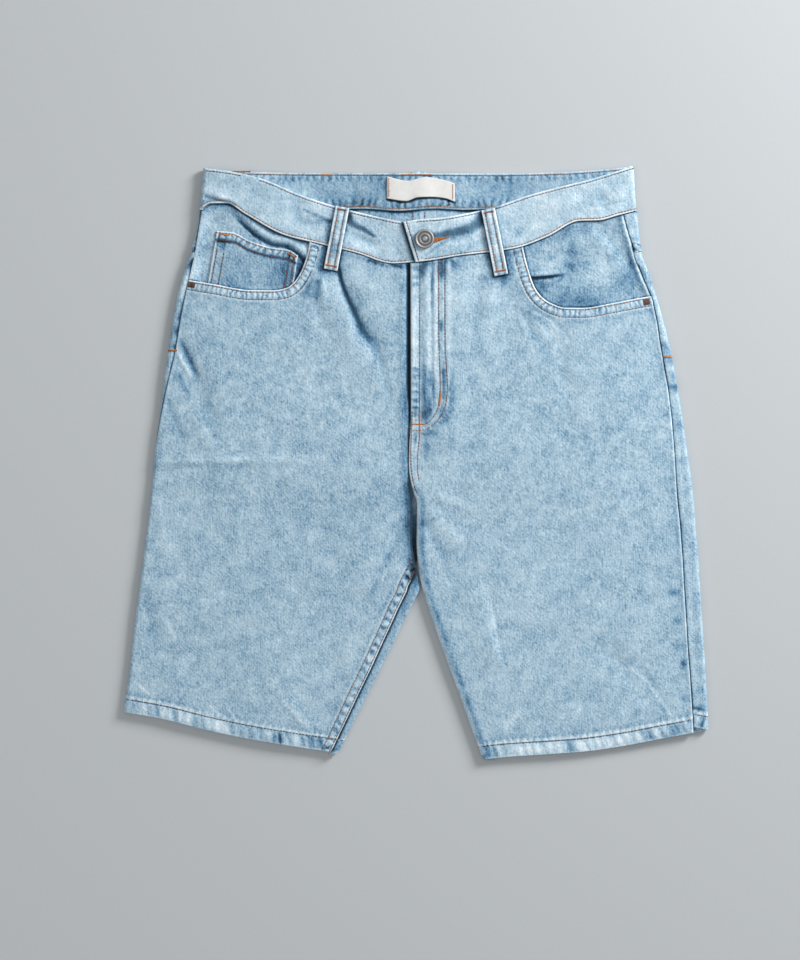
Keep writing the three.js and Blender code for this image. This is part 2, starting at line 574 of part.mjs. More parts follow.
// A pocket facing lies flush at the side seam and dips under the front past it.
function facing({ side, fold, seam, mouth, edge, band, dipAt, inwardX }) {
  const outer = turned(side, fold, (y) => -seam(y) - half - FACING_SIDE_GAP);
  const inner = plain(-side, () => inwardX);
  const fromSeam = (s, y) => side * (outer.end(y) - s);
  return {
    layer: 1, thick: LIGHT_CLOTH, steps: 6, guessTop: 225, guessLow: 160,
    low: side > 0 ? inner : outer, high: side > 0 ? outer : inner,
    lowTurns: side < 0, middle: even(13),
    top: (x) => Math.min(band(x), band(x + side * BAND_FOLD_OUTER)) - FACING_TOP_GAP,
    bottom: (x) => {
      const mouthY = read(mouth, 'x', 'y', x);
      if (fromSeam(x, mouthY) < DIP_RUN + 1) return mouthY + SEAM_GAP;
      return Math.min(mouthY - 2, read(edge, 'x', 'y', x));
    },
    dip: (s, y) => dipAt(y) * smooth(fromSeam(s, y) / DIP_RUN),
  };
}
const facingLeft = facing({
  side: 1, fold: leftEdge, seam: leftSeam, mouth: MOUTH_LEFT, edge: FACING_LEFT_EDGE,
  band: bandLowLeft, dipAt: () => FACING_DIP, inwardX: FACING_LEFT_EDGE[0].x,
});
// The right facing lies deeper, under the coin pocket, and rises over the back's band.
const facingRight = facing({
  side: -1, fold: rightEdge, seam: rightSeam, mouth: MOUTH_RIGHT, edge: FACING_RIGHT_EDGE,
  band: bandLowRight, dipAt: (y) => lerp(COIN_DIP, FACING_DIP, smooth((y - 228) / 13)),
  inwardX: FACING_RIGHT_EDGE.at(-1).x,
});

// The coin pocket lies on the right facing, and the front covers its foot.
const coinPocket = {
  layer: 1, thick: LIGHT_CLOTH, steps: 4, guessTop: 215, guessLow: 165,
  low: plain(-1, (y) => lerp(-199.5, -191.2, (y - 175) / 48)),
  high: plain(1, (y) => lerp(-118.0, -113.6, (y - 170) / 29)),
  middle: even(5),
  top: (x) => read([{ x: -201, y: 223.5 }, { x: -176, y: 221.5 }, { x: -160, y: 213.5 },
    { x: -140, y: 207.2 }, { x: -122, y: 204.6 }, { x: -113, y: 198.8 }], 'x', 'y', x),
  bottom: (x) => read(MOUTH_RIGHT, 'x', 'y', x) - 8,
  dip: () => FACING_DIP,
};

// The waistband: one strip from its upper end round the back to its lower end. Its
// sections are read at steps between the rows of a table.
function bandSections(rows, steps) {
  return Array.from({ length: (rows.length - 1) * steps + 1 }, (_, i) => {
    const row = Math.min(Math.floor(i / steps), rows.length - 2);
    const t = i / steps - row;
    const topX = lerp(rows[row].topX, rows[row + 1].topX, t);
    const lowX = lerp(rows[row].lowX, rows[row + 1].lowX, t);
    return {
      top: new THREE.Vector2(topX, read(rows, 'topX', 'topY', topX)),
      low: new THREE.Vector2(lowX, read(rows, 'lowX', 'lowY', lowX)),
    };
  });
}
const overlapRise = (x) => BAND_RISE * smooth((78 - x) / 42);
const BAND_SHARES = [0, 0.33, 0.67, 1];

// A line across the band where it has turned through an angle about its side's fold:
// a quarter turn up is the front, a quarter turn down the back, and side 0 is flat.
function bandLine(section, turn, side, rise) {
  const across = (radius) => BAND_SHARES.map((share) => {
    const middle = section.top.clone().lerp(section.low, share);
    const inward = side * (BAND_FOLD_OUTER - radius * Math.cos(turn));
    const z = BAND_FOLD_OUTER + radius * Math.sin(turn) + rise(middle.x);
    return settle(middle.x - inward, middle.y, z);
  });
  return {
    outer: across(BAND_FOLD + BAND_THICK / 2),
    inner: across(BAND_FOLD - BAND_THICK / 2),
  };
}
function waistband() {
  const up = Math.PI / 2;
  const none = () => 0;
  const turns = [0.8, 0.4, 0, -0.4, -0.8].map((k) => k * up);
  const left = bandSections(BAND_LEFT, 3).reverse();
  const right = bandSections(BAND_RIGHT, 3);
  const back = bandSections(BAND_BACK, 3).reverse();
  const inside = (s) => s.top.x < BAND_LEFT[0].topX - BAND_FOLD_OUTER &&
    s.top.x > BAND_RIGHT[0].topX + BAND_FOLD_OUTER;
  const lines = [
    ...left.filter(inside).map((s) => bandLine(s, up, 0, overlapRise)),
    ...turns.map((t) => bandLine(left.at(-1), t, 1, none)),
    ...back.filter(inside).map((s) => bandLine(s, -up, 0, none)),
    ...[...turns].reverse().map((t) => bandLine(right[0], t, -1, none)),
    ...right.filter(inside).map((s) => bandLine(s, up, 0, none)),
  ];
  return wall(lines.map((l) => l.outer), lines.map((l) => l.inner));
}

// A belt loop on the front, arched a little over the band.
function frontLoop(run, rise) {
  const steps = 10;
  const across = new THREE.Vector2(run.y1 - run.y0, run.x0 - run.x1).normalize();
  const outer = [];
  const inner = [];
  for (let i = 0; i <= steps; i += 1) {
    const t = i / steps;
    const x = lerp(run.x0, run.x1, t);
    const y = lerp(run.y0, run.y1, t);
    const base = BAND_FACE + LOOP_CLEAR + LOOP_ARCH * Math.sin(Math.PI * t) -
      (BAND_FACE - TOP_FACE) * smooth((t - 0.8) / 0.2);
    const rows = { outer: [], inner: [] };
    for (const k of [-1, -0.4, 0.4, 1]) {
      const px = x + across.x * k * LOOP_WIDTH / 2;
      const py = y + across.y * k * LOOP_WIDTH / 2;
      const z = base + rise(px);
      rows.outer.push(settle(px, py, z + LOOP_THICK));
      rows.inner.push(settle(px, py, z));
    }
    outer.push(rows.outer);
    inner.push(rows.inner);
  }
  return wall(outer, inner);
}

// A flat piece on the table, under the cloth: its outline raised by its thickness.
function flatPiece(corners, thick) {
  const shape = new THREE.Shape(corners.map(([x, y]) => new THREE.Vector2(x, y)));
  return new THREE.ExtrudeGeometry(shape, { depth: thick, bevelEnabled: false });
}
const backPocket = (x) => flatPiece([
  [x - POCKET.wide / 2, POCKET.top], [x - POCKET.narrow / 2, POCKET.top - POCKET.tall],
  [x, POCKET.top - POCKET.tall - POCKET.point],
  [x + POCKET.narrow / 2, POCKET.top - POCKET.tall], [x + POCKET.wide / 2, POCKET.top],
], CLOTH);
const backLoop = (x) => flatPiece([
  [x - LOOP_WIDTH / 2, BACK_LOOP_TOP - BACK_LOOP_LONG],
  [x + LOOP_WIDTH / 2, BACK_LOOP_TOP - BACK_LOOP_LONG],
  [x + LOOP_WIDTH / 2, BACK_LOOP_TOP], [x - LOOP_WIDTH / 2, BACK_LOOP_TOP],
], LOOP_THICK);

// The blank label inside the back of the band, wavy between its two sewn ends.
function label() {
  const outer = [];
  const inner = [];
  const steps = 16;
  for (let i = 0; i <= steps; i += 1) {
    const x = lerp(LABEL_TOP[0].x, LABEL_TOP.at(-1).x, i / steps);
    const upper = read(LABEL_TOP, 'x', 'y', x);
    const lower = read(LABEL_LOW, 'x', 'y', x);
    const wave = LABEL_WAVE * Math.sin(Math.PI * i / steps) ** 2;
    const rows = { outer: [], inner: [] };
    for (const share of [0, 0.35, 0.7, 1]) {
      const y = lerp(upper, lower, share);
      const z = BAND_THICK + SEAM_GAP + wave * (0.3 + 0.7 * share);
      rows.outer.push(settle(x, y, z + LIGHT_CLOTH));
      rows.inner.push(settle(x, y, z));
    }
    outer.push(rows.outer);
    inner.push(rows.inner);
  }
  return wall(outer, inner);
}

// The shank button: a rim, a groove, a raised ring and a low dome.
function button() {
  const r = BUTTON.radius;
  const profile = [
    [0, 0], [r - 1.2, 0], [r, 0.9], [r, 1.9], [r - 0.7, 2.6], [r - 1.7, 2.6],
    [r - 2.2, 2.0], [r - 3.4, 2.0], [r - 3.9, 2.5], [r - 5.4, 2.5], [r - 6.0, 2.2], [0, 2.9],
  ].map(([x, y]) => new THREE.Vector2(x, y));
  const cap = new THREE.LatheGeometry(profile, 22);
  cap.rotateX(Math.PI / 2);
  return cap;
}

// Colours and finish
const denim = { color: 0x9dbacb, roughness: 0.92, metalness: 0 };
const denimInside = { color: 0x8fb2c9, roughness: 0.94, metalness: 0 };
const denimDeep = { color: 0x83a9c0, roughness: 0.93, metalness: 0 };
const labelCloth = { color: 0xe9e6e2, roughness: 0.9, metalness: 0 };
const pewter = { color: 0x8d949b, roughness: 0.42, metalness: 1 };

const shorts = new THREE.Group();
function add(name, geometry, finish) {
  const mesh = new THREE.Mesh(geometry, new THREE.MeshStandardMaterial(finish));
  mesh.name = name;
  shorts.add(mesh);
  return mesh;
}
add('front_left', clothPiece(frontLeft), denim);
add('front_right', clothPiece(frontRight), denim);
add('back_left', clothPiece(backLeft), denim);
add('back_right', clothPiece(backRight), denim);
add('yoke_left', clothPiece(yokeLeft), denim);
add('yoke_right', clothPiece(yokeRight), denim);
add('pocket_facing_left', clothPiece(facingLeft), denimDeep);
add('pocket_facing_right', clothPiece(facingRight), denimDeep);
add('coin_pocket', clothPiece(coinPocket), denimDeep);
add('waistband', waistband(), denimInside);
add('belt_loop_front_left', frontLoop(FRONT_LOOPS.left, overlapRise), denim);
add('belt_loop_front_right', frontLoop(FRONT_LOOPS.right, () => 0), denim);
for (const [place, x] of Object.entries(BACK_LOOPS)) {
  add(`belt_loop_back_${place}`, backLoop(x), denim);
}
for (const [place, x] of Object.entries(POCKET_AT)) {
  add(`back_pocket_${place}`, backPocket(x), denim);
}
add('label', label(), labelCloth);
const buttonMesh = add('button', button(), pewter);
buttonMesh.position.copy(settle(BUTTON.x, BUTTON.y, BAND_FACE + BAND_RISE + SEAM_GAP));

export default shorts;
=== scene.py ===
# %% [markdown]
# # Denim shorts laid flat, a lesson in cells
# A pair of washed denim shorts lies on a table, front up, and is seen from straight above.
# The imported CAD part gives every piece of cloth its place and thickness. This lesson lays a
# finer cloth over each of them, with the folds, puckers, stitches and wear that denim has.
# Everything is worked out in millimetres and turned into metres when a mesh is made.

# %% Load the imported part
import math

import bpy
import numpy as np
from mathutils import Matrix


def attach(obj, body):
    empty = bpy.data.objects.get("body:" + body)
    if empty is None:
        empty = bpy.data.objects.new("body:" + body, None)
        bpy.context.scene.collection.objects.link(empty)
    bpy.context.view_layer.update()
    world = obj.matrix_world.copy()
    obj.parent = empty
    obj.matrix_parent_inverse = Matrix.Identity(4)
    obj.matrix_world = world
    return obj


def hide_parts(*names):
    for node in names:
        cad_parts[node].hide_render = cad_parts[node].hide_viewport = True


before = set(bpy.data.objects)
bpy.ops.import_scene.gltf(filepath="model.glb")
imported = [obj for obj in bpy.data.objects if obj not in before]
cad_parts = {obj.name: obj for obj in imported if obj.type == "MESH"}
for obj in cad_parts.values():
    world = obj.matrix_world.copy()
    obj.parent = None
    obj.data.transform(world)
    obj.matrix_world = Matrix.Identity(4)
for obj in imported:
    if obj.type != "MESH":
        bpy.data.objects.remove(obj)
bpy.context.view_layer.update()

# %% [markdown]
# ## The camera
# The picture is taken from straight above with a long lens, so the sides don't show. A
# perspective camera 3.5 m up, aimed at the middle of the frame, gives that view. Its lens
# follows from how much of the table it has to see at the height of the cloth.

# %% Camera
MM = 0.001
FRAME_MIDDLE = (-15.4, -16.3)
FRAME_HEIGHT = 921.6
CAMERA_HEIGHT = 3500.0
CLOTH_TOP = 8.0

camera_data = bpy.data.cameras.new("camera")
camera_data.sensor_width = 36.0
camera_data.lens = 36.0 * (CAMERA_HEIGHT - CLOTH_TOP) / FRAME_HEIGHT
camera_data.clip_end = 20.0
camera = bpy.data.objects.new("camera", camera_data)
camera.location = (FRAME_MIDDLE[0] * MM, FRAME_MIDDLE[1] * MM, CAMERA_HEIGHT * MM)
bpy.context.scene.collection.objects.link(camera)
bpy.context.scene.camera = camera
print("lens:", round(camera_data.lens, 1), "mm")

# %% [markdown]
# ## Reading the pattern tables
# The cloth is cut by tables of a few rows each, as in the part's source, with three small
# differences: at the crotch the right front runs a little straighter, under the left one, the
# right leg's inner seam lies 4 to 5 mm further from the fold, where the picture shows it, and
# the lower edge of the back of the band waves by about 1 mm.
# Between rows a cubic curve whose slope never overshoots a neighbour keeps each edge smooth.

# %% Smooth reading of a table
def smooth(t):
    """Rises from 0 to 1 without corners."""
    k = np.clip(t, 0.0, 1.0)
    return k * k * (3 - 2 * k)


def bell(value, at, wide, power=2):
    """A soft bump of height 1; a power of 4 gives it a flatter top."""
    return np.exp(-(((value - at) / wide) ** power))


def reader(rows, column=1):
    """A smooth reading of one column of a table by its first column."""
    table = np.array(sorted(rows), dtype=float)
    key, value = table[:, 0], table[:, column]
    slope = np.diff(value) / np.diff(key)
    total = np.where(slope[:-1] * slope[1:] > 0, slope[:-1] + slope[1:], 1.0)
    inner = np.where(slope[:-1] * slope[1:] > 0, 2 * slope[:-1] * slope[1:] / total, 0.0)
    tangent = np.concatenate([slope[:1], inner, slope[-1:]])

    def at(place):
        x = np.clip(place, key[0], key[-1])
        i = np.clip(np.searchsorted(key, x) - 1, 0, len(slope) - 1)
        span = key[i + 1] - key[i]
        t = (x - key[i]) / span
        ends = value[i] * (1 + 2 * t) * (1 - t) ** 2 + value[i + 1] * t * t * (3 - 2 * t)
        turns = tangent[i] * (1 - t) - tangent[i + 1] * t
        return ends + turns * span * t * (1 - t)

    return at

# %% [markdown]
# ## Thicknesses and folds
# A leg is one layer of denim that turns over at its side in a small half circle. The upper
# layer's middle is therefore two fold radii above the lower one.

# %% Cloth sizes
CLOTH = 1.2
LIGHT_CLOTH = 1.0
SEAM_GAP = 0.3
FOLD_OUTER = 3.0
HEM_DEPTH = 13.0
BAND_THICK = 2.8
LOOP_THICK = 1.5
LOOP_WIDTH = 13.0
LOOP_CLEAR = 0.4
FACING_DIP = CLOTH / 2 + SEAM_GAP + LIGHT_CLOTH / 2
COIN_DIP = FACING_DIP + LIGHT_CLOTH + SEAM_GAP
FOLD = FOLD_OUTER - CLOTH / 2
QUARTER = FOLD * math.pi / 2
EASE = QUARTER - FOLD_OUTER
TOP_MIDDLE = FOLD_OUTER + FOLD
TOP_FACE = TOP_MIDDLE + CLOTH / 2
BAND_FOLD_OUTER = FOLD_OUTER + 0.25
BAND_FOLD = BAND_FOLD_OUTER - BAND_THICK / 2
BAND_FACE = 2 * BAND_FOLD_OUTER
FLY_RISE = CLOTH + SEAM_GAP
BAND_RISE = BAND_THICK + SEAM_GAP
print("top face of the upper layer:", round(TOP_FACE, 2), "mm")

# %% The two sides: height, outline, distance of the side seam from the fold
SIDE_LEFT = [
    (300, 207, 16), (285, 208.6, 15), (245, 212.2, 15), (227, 213.8, 12.5), (204, 216.4, 8.5),
    (181, 224.4, 8.5), (158, 231.4, 5.6), (147, 234.8, 6.5), (135, 238, 7.2), (112, 243.8, 9.4),
    (66, 252.5, 10.4), (20, 259.4, 12.6), (-37, 266.9, 16.2), (-83, 270.4, 15.6),
    (-130, 273.8, 16.2), (-176, 276.8, 16.3), (-222, 279.6, 15.6), (-262, 281.2, 15.2),
]
SIDE_RIGHT = [
    (300, -203.5, 2.6), (283, -204.8, 2.6), (245, -207.8, 2.6), (227, -210, 2.2),
    (204, -216.2, 4.6), (181, -223.8, 7.2), (147, -232.4, 8.6), (126, -235.8, 8.4),
    (104, -238.6, 7.2), (75, -242.4, 4.2), (40, -247.2, 1.8), (16, -250.3, 0), (-16, -253.6, -3),
    (-55, -257.8, -6), (-93, -262.6, -7), (-132, -267.8, -7.5), (-170, -272.4, -8),
    (-208, -277, -8), (-245, -281.2, -8),
]
left_edge, left_seam = reader(SIDE_LEFT, 1), reader(SIDE_LEFT, 2)
right_edge, right_seam = reader(SIDE_RIGHT, 1), reader(SIDE_RIGHT, 2)

# %% The middle: height, fold line, and how far the cloth runs past it
FLAT_END = -3.9
FLY_OVER = [
    (230, -8.6, FLAT_END), (156, -8.2, FLAT_END), (40, -7.9, FLAT_END), (14, -9.6, FLAT_END),
    (-3, -10, FLAT_END), (-16, -8, -3.5), (-27, -3.6, -2), (-39, 0.5, -0.8), (-59, 0.3, -0.4),
    (-77, 0.1, -0.2), (-90, 0.9, 0), (-97, 1.7, 0.5), (-104, 2.6, 3.5), (-112, 4, 8.5),
    (-121, 6.4, 10), (-141, 12.5, 10), (-164, 20.2, 10), (-187, 28.6, 10), (-210, 36.8, 10),
    (-233, 45.2, 10), (-256, 53.6, 10), (-287, 65.8, 10),
]
FLY_UNDER = [
    (230, 7.2, FLAT_END), (66, 7, FLAT_END), (48, 3, FLAT_END), (36, -4.6, FLAT_END),
    (-3, -4.4, FLAT_END), (-16, -4.2, -3.5), (-27, -3.2, -2), (-40, -2.4, -1.5), (-60, -2.5, -1.5),
    (-77, -2.4, -1.5), (-90, -0.9, -1.2), (-97, 0, -1), (-104, 0.9, -2.4), (-112, 2.4, -7.6),
    (-121, 3.6, -13), (-127, 1.2, -13), (-141, -5.9, -12.8), (-153, -11.8, -12.2),
    (-176, -23.6, -11), (-199, -34.8, -10.2), (-222, -46.6, -9.6), (-245, -58.2, -8.7),
    (-280, -75.7, -8),
]
CENTRE_BACK = 2.9
FLAT_TO_EDGE = 3.13
LEFT_FLAT = CENTRE_BACK + SEAM_GAP / 2 - FLAT_TO_EDGE
RIGHT_FLAT = CENTRE_BACK - SEAM_GAP / 2 + FLAT_TO_EDGE
BACK_LEFT_PARTS = [
    (300, LEFT_FLAT, FLAT_END), (-80, LEFT_FLAT, FLAT_END), (-90, 1.3, -3), (-97, 1.9, -2.6),
]
BACK_RIGHT_PARTS = [
    (300, RIGHT_FLAT, FLAT_END), (-80, RIGHT_FLAT, FLAT_END), (-90, 2.4, -2.4), (-97, 0, 0.7),
]
ROUND_LEG = -100.0

# %% Pocket mouths, facings, hems and the yoke seam, by their distance across
MOUTH_LEFT = [
    (102.7, 207), (105.4, 195.5), (108.8, 183.4), (111.8, 174), (116, 165.6), (122, 158.6),
    (129.8, 153.6), (143, 149.4), (160, 149.2), (186, 153.2), (211.6, 158.2), (240, 163),
]
MOUTH_RIGHT = [
    (-235, 179.5), (-217.4, 175.9), (-192, 171.6), (-176, 168.4), (-160.3, 166.3), (-136.3, 166.1),
    (-124.6, 168.4), (-117.4, 173.6), (-112, 181.4), (-108, 190), (-104.6, 200.6), (-102, 211.4),
]
FACING_LEFT_EDGE = [
    (92, 199), (97, 181), (104, 160), (114, 147.5), (128, 140.5), (150, 138), (186, 142.5),
    (211, 147),
]
FACING_RIGHT_EDGE = [
    (-205, 163.5), (-176, 157.5), (-150, 155.2), (-128, 156.6), (-113, 163.5), (-103, 176),
    (-97, 190), (-92, 205),
]
HEM_RIGHT = [
    (-300, -236), (-280.8, -239.2), (-242, -246.2), (-203.5, -256), (-165.1, -264.2),
    (-126.7, -270.8), (-88.3, -276.6), (-60, -280.6),
]
HEM_LEFT = [
    (50, -286), (66, -284.8), (84.5, -282.6), (122.9, -280), (161.3, -277.2), (199.7, -271.8),
    (238.1, -264.4), (281.3, -256.6), (300, -253),
]
YOKE_AT_CENTRE, YOKE_AT_SIDE, SIDE_REACH = 176.0, 201.0, 212.0
mouth_left, mouth_right = reader(MOUTH_LEFT), reader(MOUTH_RIGHT)
hem_left, hem_right = reader(HEM_LEFT), reader(HEM_RIGHT)


def yoke_seam(x):
    """Height of the seam between the yoke and the backs, which dips at the centre."""
    return YOKE_AT_CENTRE + (YOKE_AT_SIDE - YOKE_AT_CENTRE) * np.abs(x - CENTRE_BACK) / SIDE_REACH

# %% The waistband in sections: upper and lower edge of each
BAND_LEFT = [
    (208.4, 285, 211.8, 242.4), (187.2, 278.4, 194.5, 238.1), (165.1, 271.7, 175.7, 233.2),
    (143, 266.4, 157, 232.6), (108.5, 257.3, 125.8, 217.5), (77.8, 246.7, 96, 206.6),
    (57.3, 241.5, 71, 202.9), (23, 235.2, 40, 199), (3.8, 233.8, 16, 194.9),
    (-12.1, 231.2, -0.4, 193),
]
BAND_RIGHT = [
    (-204.6, 283.2, -207.8, 243.2), (-190, 281.6, -197, 249.6), (-168, 278, -182, 249.8),
    (-146, 272.2, -164, 239.4), (-111.4, 257.8, -127, 219.4), (-76.8, 246.4, -92.2, 210.6),
    (-44.2, 238.2, -58, 202.2), (-12.5, 231.4, -22, 191.8), (16, 227.2, 3.4, 193.8),
]
BAND_BACK = [
    (-204.6, 283.2, -207.8, 243.2), (-165, 279.8, -166, 244.6), (-111, 278.9, -111, 244.8),
    (-78, 278.8, -78, 243.9), (-52, 278.7, -52, 244.7), (-17, 278.5, -17, 242.6),
    (18, 278.4, 18, 244.7), (46, 278.4, 46, 243.5), (80, 278.4, 80, 244.4),
    (142, 279.6, 143, 244.2), (180, 282, 182, 243.6), (208.4, 285, 211.8, 242.4),
]


def lower_line(band):
    """The lower edge of a half of the band, read by its distance across."""
    return reader([(row[2], row[3]) for row in band])


band_low_left, band_low_right = lower_line(BAND_LEFT), lower_line(BAND_RIGHT)
band_low_back = lower_line(BAND_BACK)

# %% [markdown]
# ## Noise from a lattice
# Cloth that has been washed is never even. One seeded lattice of random numbers, read with
# a smooth blend, gives slow waves in the cloth and slow changes along a seam.

# %% Lattice noise
def lattice(x, y, size, seed):
    """Smooth random values from -1 to 1 whose bumps are about size millimetres across."""
    values = np.random.default_rng(seed).uniform(-1, 1, (257, 257))
    u, v = np.asarray(x) / size + 640.0, np.asarray(y) / size + 640.0
    i, j = np.floor(u).astype(int), np.floor(v).astype(int)
    a, b = smooth(u - i), smooth(v - j)
    i, j = i % 256, j % 256
    low = values[i, j] * (1 - a) + values[i + 1, j] * a
    high = values[i, j + 1] * (1 - a) + values[i + 1, j + 1] * a
    return low * (1 - b) + high * b

# %% [markdown]
# ## Folds and lifts
# The solid part already holds the largest folds of the upper layer, and lifts the cloth
# where a back pocket or a back loop lies under it. The same sums are used here, so the fine
# cloth lies exactly where the solid one does.

# %% The solid's folds and lifts
CREASES = [
    (-78, 184, -36, 104, 9, -1.3), (-92, 176, -54, 92, 11, 0.9), (-228, 112, -192, 36, 9, -1.1),
    (-252, 1, -118, 2, 5, 0.8), (122, 138, 154, 56, 13, -1), (84, 176, 92, 96, 12, -0.7),
    (52, -120, 78, -196, 10, 0.8), (-126, -228, -100, -256, 9, 0.9),
    (176, -170, 226, -228, 10, -0.8),
]
POCKET_AT = {"right": -104.0, "left": 110.0}
POCKET_WIDE, POCKET_NARROW, POCKET_TALL, POCKET_POINT, POCKET_TOP = 132.0, 112.0, 128.0, 18.0, 158.0
BACK_LOOPS = {"right": -168.0, "centre": CENTRE_BACK, "left": 170.0}
BACK_LOOP_TOP, BACK_LOOP_LONG = 280.0, 58.0


def creases(x, y, folds=CREASES):
    """Height that straight soft folds add: from, to, half-width and rise of each."""
    total = np.zeros(np.shape(x))
    for x0, y0, x1, y1, half, rise in folds:
        dx, dy = x1 - x0, y1 - y0
        t = np.clip(((x - x0) * dx + (y - y0) * dy) / (dx * dx + dy * dy), -0.2, 1.2)
        off = np.hypot(x - x0 - dx * t, y - y0 - dy * t)
        fade = smooth((t + 0.15) / 0.3) * smooth((1.15 - t) / 0.3)
        total = total + rise * fade * bell(off, 0, half)
    return total


def lift(x, y):
    """How far all the cloth at a place is lifted by what lies under it."""
    best = np.zeros(np.shape(x))
    tall = (POCKET_TALL + POCKET_POINT) / 2
    boxes = [(at, POCKET_TOP - tall, POCKET_WIDE / 2, tall, CLOTH + SEAM_GAP, 16, 66)
             for at in POCKET_AT.values()]
    boxes += [(at, BACK_LOOP_TOP - BACK_LOOP_LONG / 2, LOOP_WIDTH / 2, BACK_LOOP_LONG / 2,
               LOOP_THICK + SEAM_GAP, 12, 46) for at in BACK_LOOPS.values()]
    for at_x, at_y, half_x, half_y, rise, margin, ramp in boxes:
        off = np.hypot(np.maximum(np.abs(x - at_x) - half_x, 0),
                       np.maximum(np.abs(y - at_y) - half_y, 0))
        best = np.maximum(best, rise * (1 - smooth((off - margin) / ramp)))
    return best


def settle(x, y, z):
    """Folds move the upper layer and lifts move every layer; gives points as rows of x, y, z."""
    share = np.clip((z - CLOTH) / (TOP_MIDDLE - CLOTH), 0, 1)
    x, y, z = np.broadcast_arrays(x, y, z + creases(x, y) * share + lift(x, y))
    return np.stack([x, y, z], axis=-1)

# %% [markdown]
# ## Seams as lines with a section
# A seam is the same all along its run: here a ridge, there a needle line pressed into the
# cloth, a pale rubbed edge, a dark line where the wash never reached, and at some edges a
# painted shadow where one layer lies over another. So each seam is one line of points on the
# pattern and a few bumps, given by their distance from that line.
# The alternative, a sculpted mesh, would have to be redone whenever an edge moves.

# %% Lines on the pattern
def through(points, step=1.5):
    """A smooth line through a few points, in even steps."""
    p = np.array(points, dtype=float)
    ghost = np.vstack([2 * p[0] - p[1], p, 2 * p[-1] - p[-2]])
    t = np.linspace(0, 1, 13)[:-1, None]
    parts = [0.5 * (2 * b + (c - a) * t + (2 * a - 5 * b + 4 * c - d) * t ** 2
                    + (3 * b - a - 3 * c + d) * t ** 3)
             for a, b, c, d in zip(ghost[:-3], ghost[1:-2], ghost[2:-1], ghost[3:])]
    return even(np.vstack(parts + [p[-1:]]), step)


def even(line, step):
    """The same line with its points at even steps."""
    run = np.concatenate([[0], np.cumsum(np.hypot(*np.diff(line, axis=0).T))])
    at = np.linspace(0, run[-1], max(2, int(round(run[-1] / step)) + 1))
    return np.column_stack([np.interp(at, run, line[:, 0]), np.interp(at, run, line[:, 1])])


def beside(line, distance):
    """A line beside another, to the left of its run, or to the right if below zero."""
    ahead = np.gradient(line, axis=0)
    ahead /= np.hypot(ahead[:, 0], ahead[:, 1])[:, None]
    return even(line + distance * np.column_stack([-ahead[:, 1], ahead[:, 0]]), 1.5)


def nearest(x, y, line):
    """Distance from a line, how far along it that is, and the side: 1 is to the left."""
    best = np.full(np.shape(x), np.inf)
    along, side = np.zeros(np.shape(x)), np.ones(np.shape(x))
    start = 0.0
    for (ax, ay), (bx, by) in zip(line[:-1], line[1:]):
        dx, dy = bx - ax, by - ay
        long = math.hypot(dx, dy)
        t = np.clip(((x - ax) * dx + (y - ay) * dy) / long ** 2, 0, 1)
        px, py = x - ax - dx * t, y - ay - dy * t
        off = px * px + py * py
        closer = off < best
        best = np.where(closer, off, best)
        along = np.where(closer, start + long * t, along)
        side = np.where(closer, np.where(dx * py - dy * px < 0, -1.0, 1.0), side)
        start += long
    return np.sqrt(best), along, side

# %% What the seams do to the cloth
REACH = 26.0


def bumps(distance, rows):
    """A sum of soft bumps: place, size and half-width of each."""
    return sum(size * bell(distance, at, width) for at, size, width in rows)


def seam(line, height=(), shade=(), bars=None, waves=None, patches=None, one_side=False,
         patchy=0.0):
    """A seam: its line, its relief in mm, its wash and painted shade, and the puckers and patches along it.
    """
    return {"line": line, "height": height, "shade": shade, "bars": bars, "waves": waves,
            "patches": patches, "one_side": one_side, "patchy": patchy}


def felt(seams, x, y, seed=0):
    """Height, wash and painted shade, and pucker marks that a list of seams gives at places of the pattern.
    """
    shape = np.shape(x)
    height, fade = np.zeros(shape), np.zeros(shape)
    marks = {"along": np.zeros(shape), "off": np.zeros(shape), "pucker": np.zeros(shape)}
    for number, one in enumerate(seams):
        line = one["line"]
        near = ((x > line[:, 0].min() - REACH) & (x < line[:, 0].max() + REACH)
                & (y > line[:, 1].min() - REACH) & (y < line[:, 1].max() + REACH))
        if not near.any():
            continue
        px, py = x[near], y[near]
        off, along, side = nearest(px, py, line)
        distance = off * side if one["one_side"] else off
        patch = 1 + one["patchy"] * lattice(along, 0, 11.0, seed + 31 * number)
        height[near] += bumps(distance, one["height"])
        fade[near] += bumps(distance, one["shade"]) * patch
        if one["waves"]:
            size, pitch, centre, reach, slant = one["waves"]
            mask = bell(distance, centre, reach, 4)
            stray = 0.3 * pitch * lattice(along, 0, 1.7 * pitch, seed + number)
            swing = along + slant * distance + stray
            wave = np.sin(2 * math.pi * swing / pitch)
            height[near] += size * wave * mask
            fade[near] += 1.1 * size * wave * mask
        if one["patches"]:
            size, pale, dark, centre, reach = one["patches"]
            mask = bell(distance, centre, reach, 4)
            place = along + 0.3 * distance
            fade[near] += pale * lattice(place, 0, size, seed + 5 * number) * mask
            drop = np.maximum(lattice(place, 0, size * 0.42, seed + 9 * number) - 0.35, 0)
            fade[near] -= dark * drop * mask
            height[near] -= 0.5 * drop * mask
        if one["bars"]:
            strength, centre, reach, pitch = one["bars"]
            amount = strength * bell(distance, centre, reach, 4)
            amount = amount * (0.75 + 0.35 * lattice(along, 0, 14.0, seed + 7 * number + 3))
            stronger = amount > marks["pucker"][near]
            for name, value in (("along", along / pitch), ("off", distance), ("pucker", amount)):
                marks[name][near] = np.where(stronger, value, marks[name][near])
    return height, fade, marks

# %% [markdown]
# ## A shell between two grids
# Every cloth piece is a thin closed shell: a grid of points for its face, one for its back,
# and a narrow rounded rim all round, as a cut and turned edge has. A Solidify modifier would
# give a square rim, and couldn't thicken only the hem.

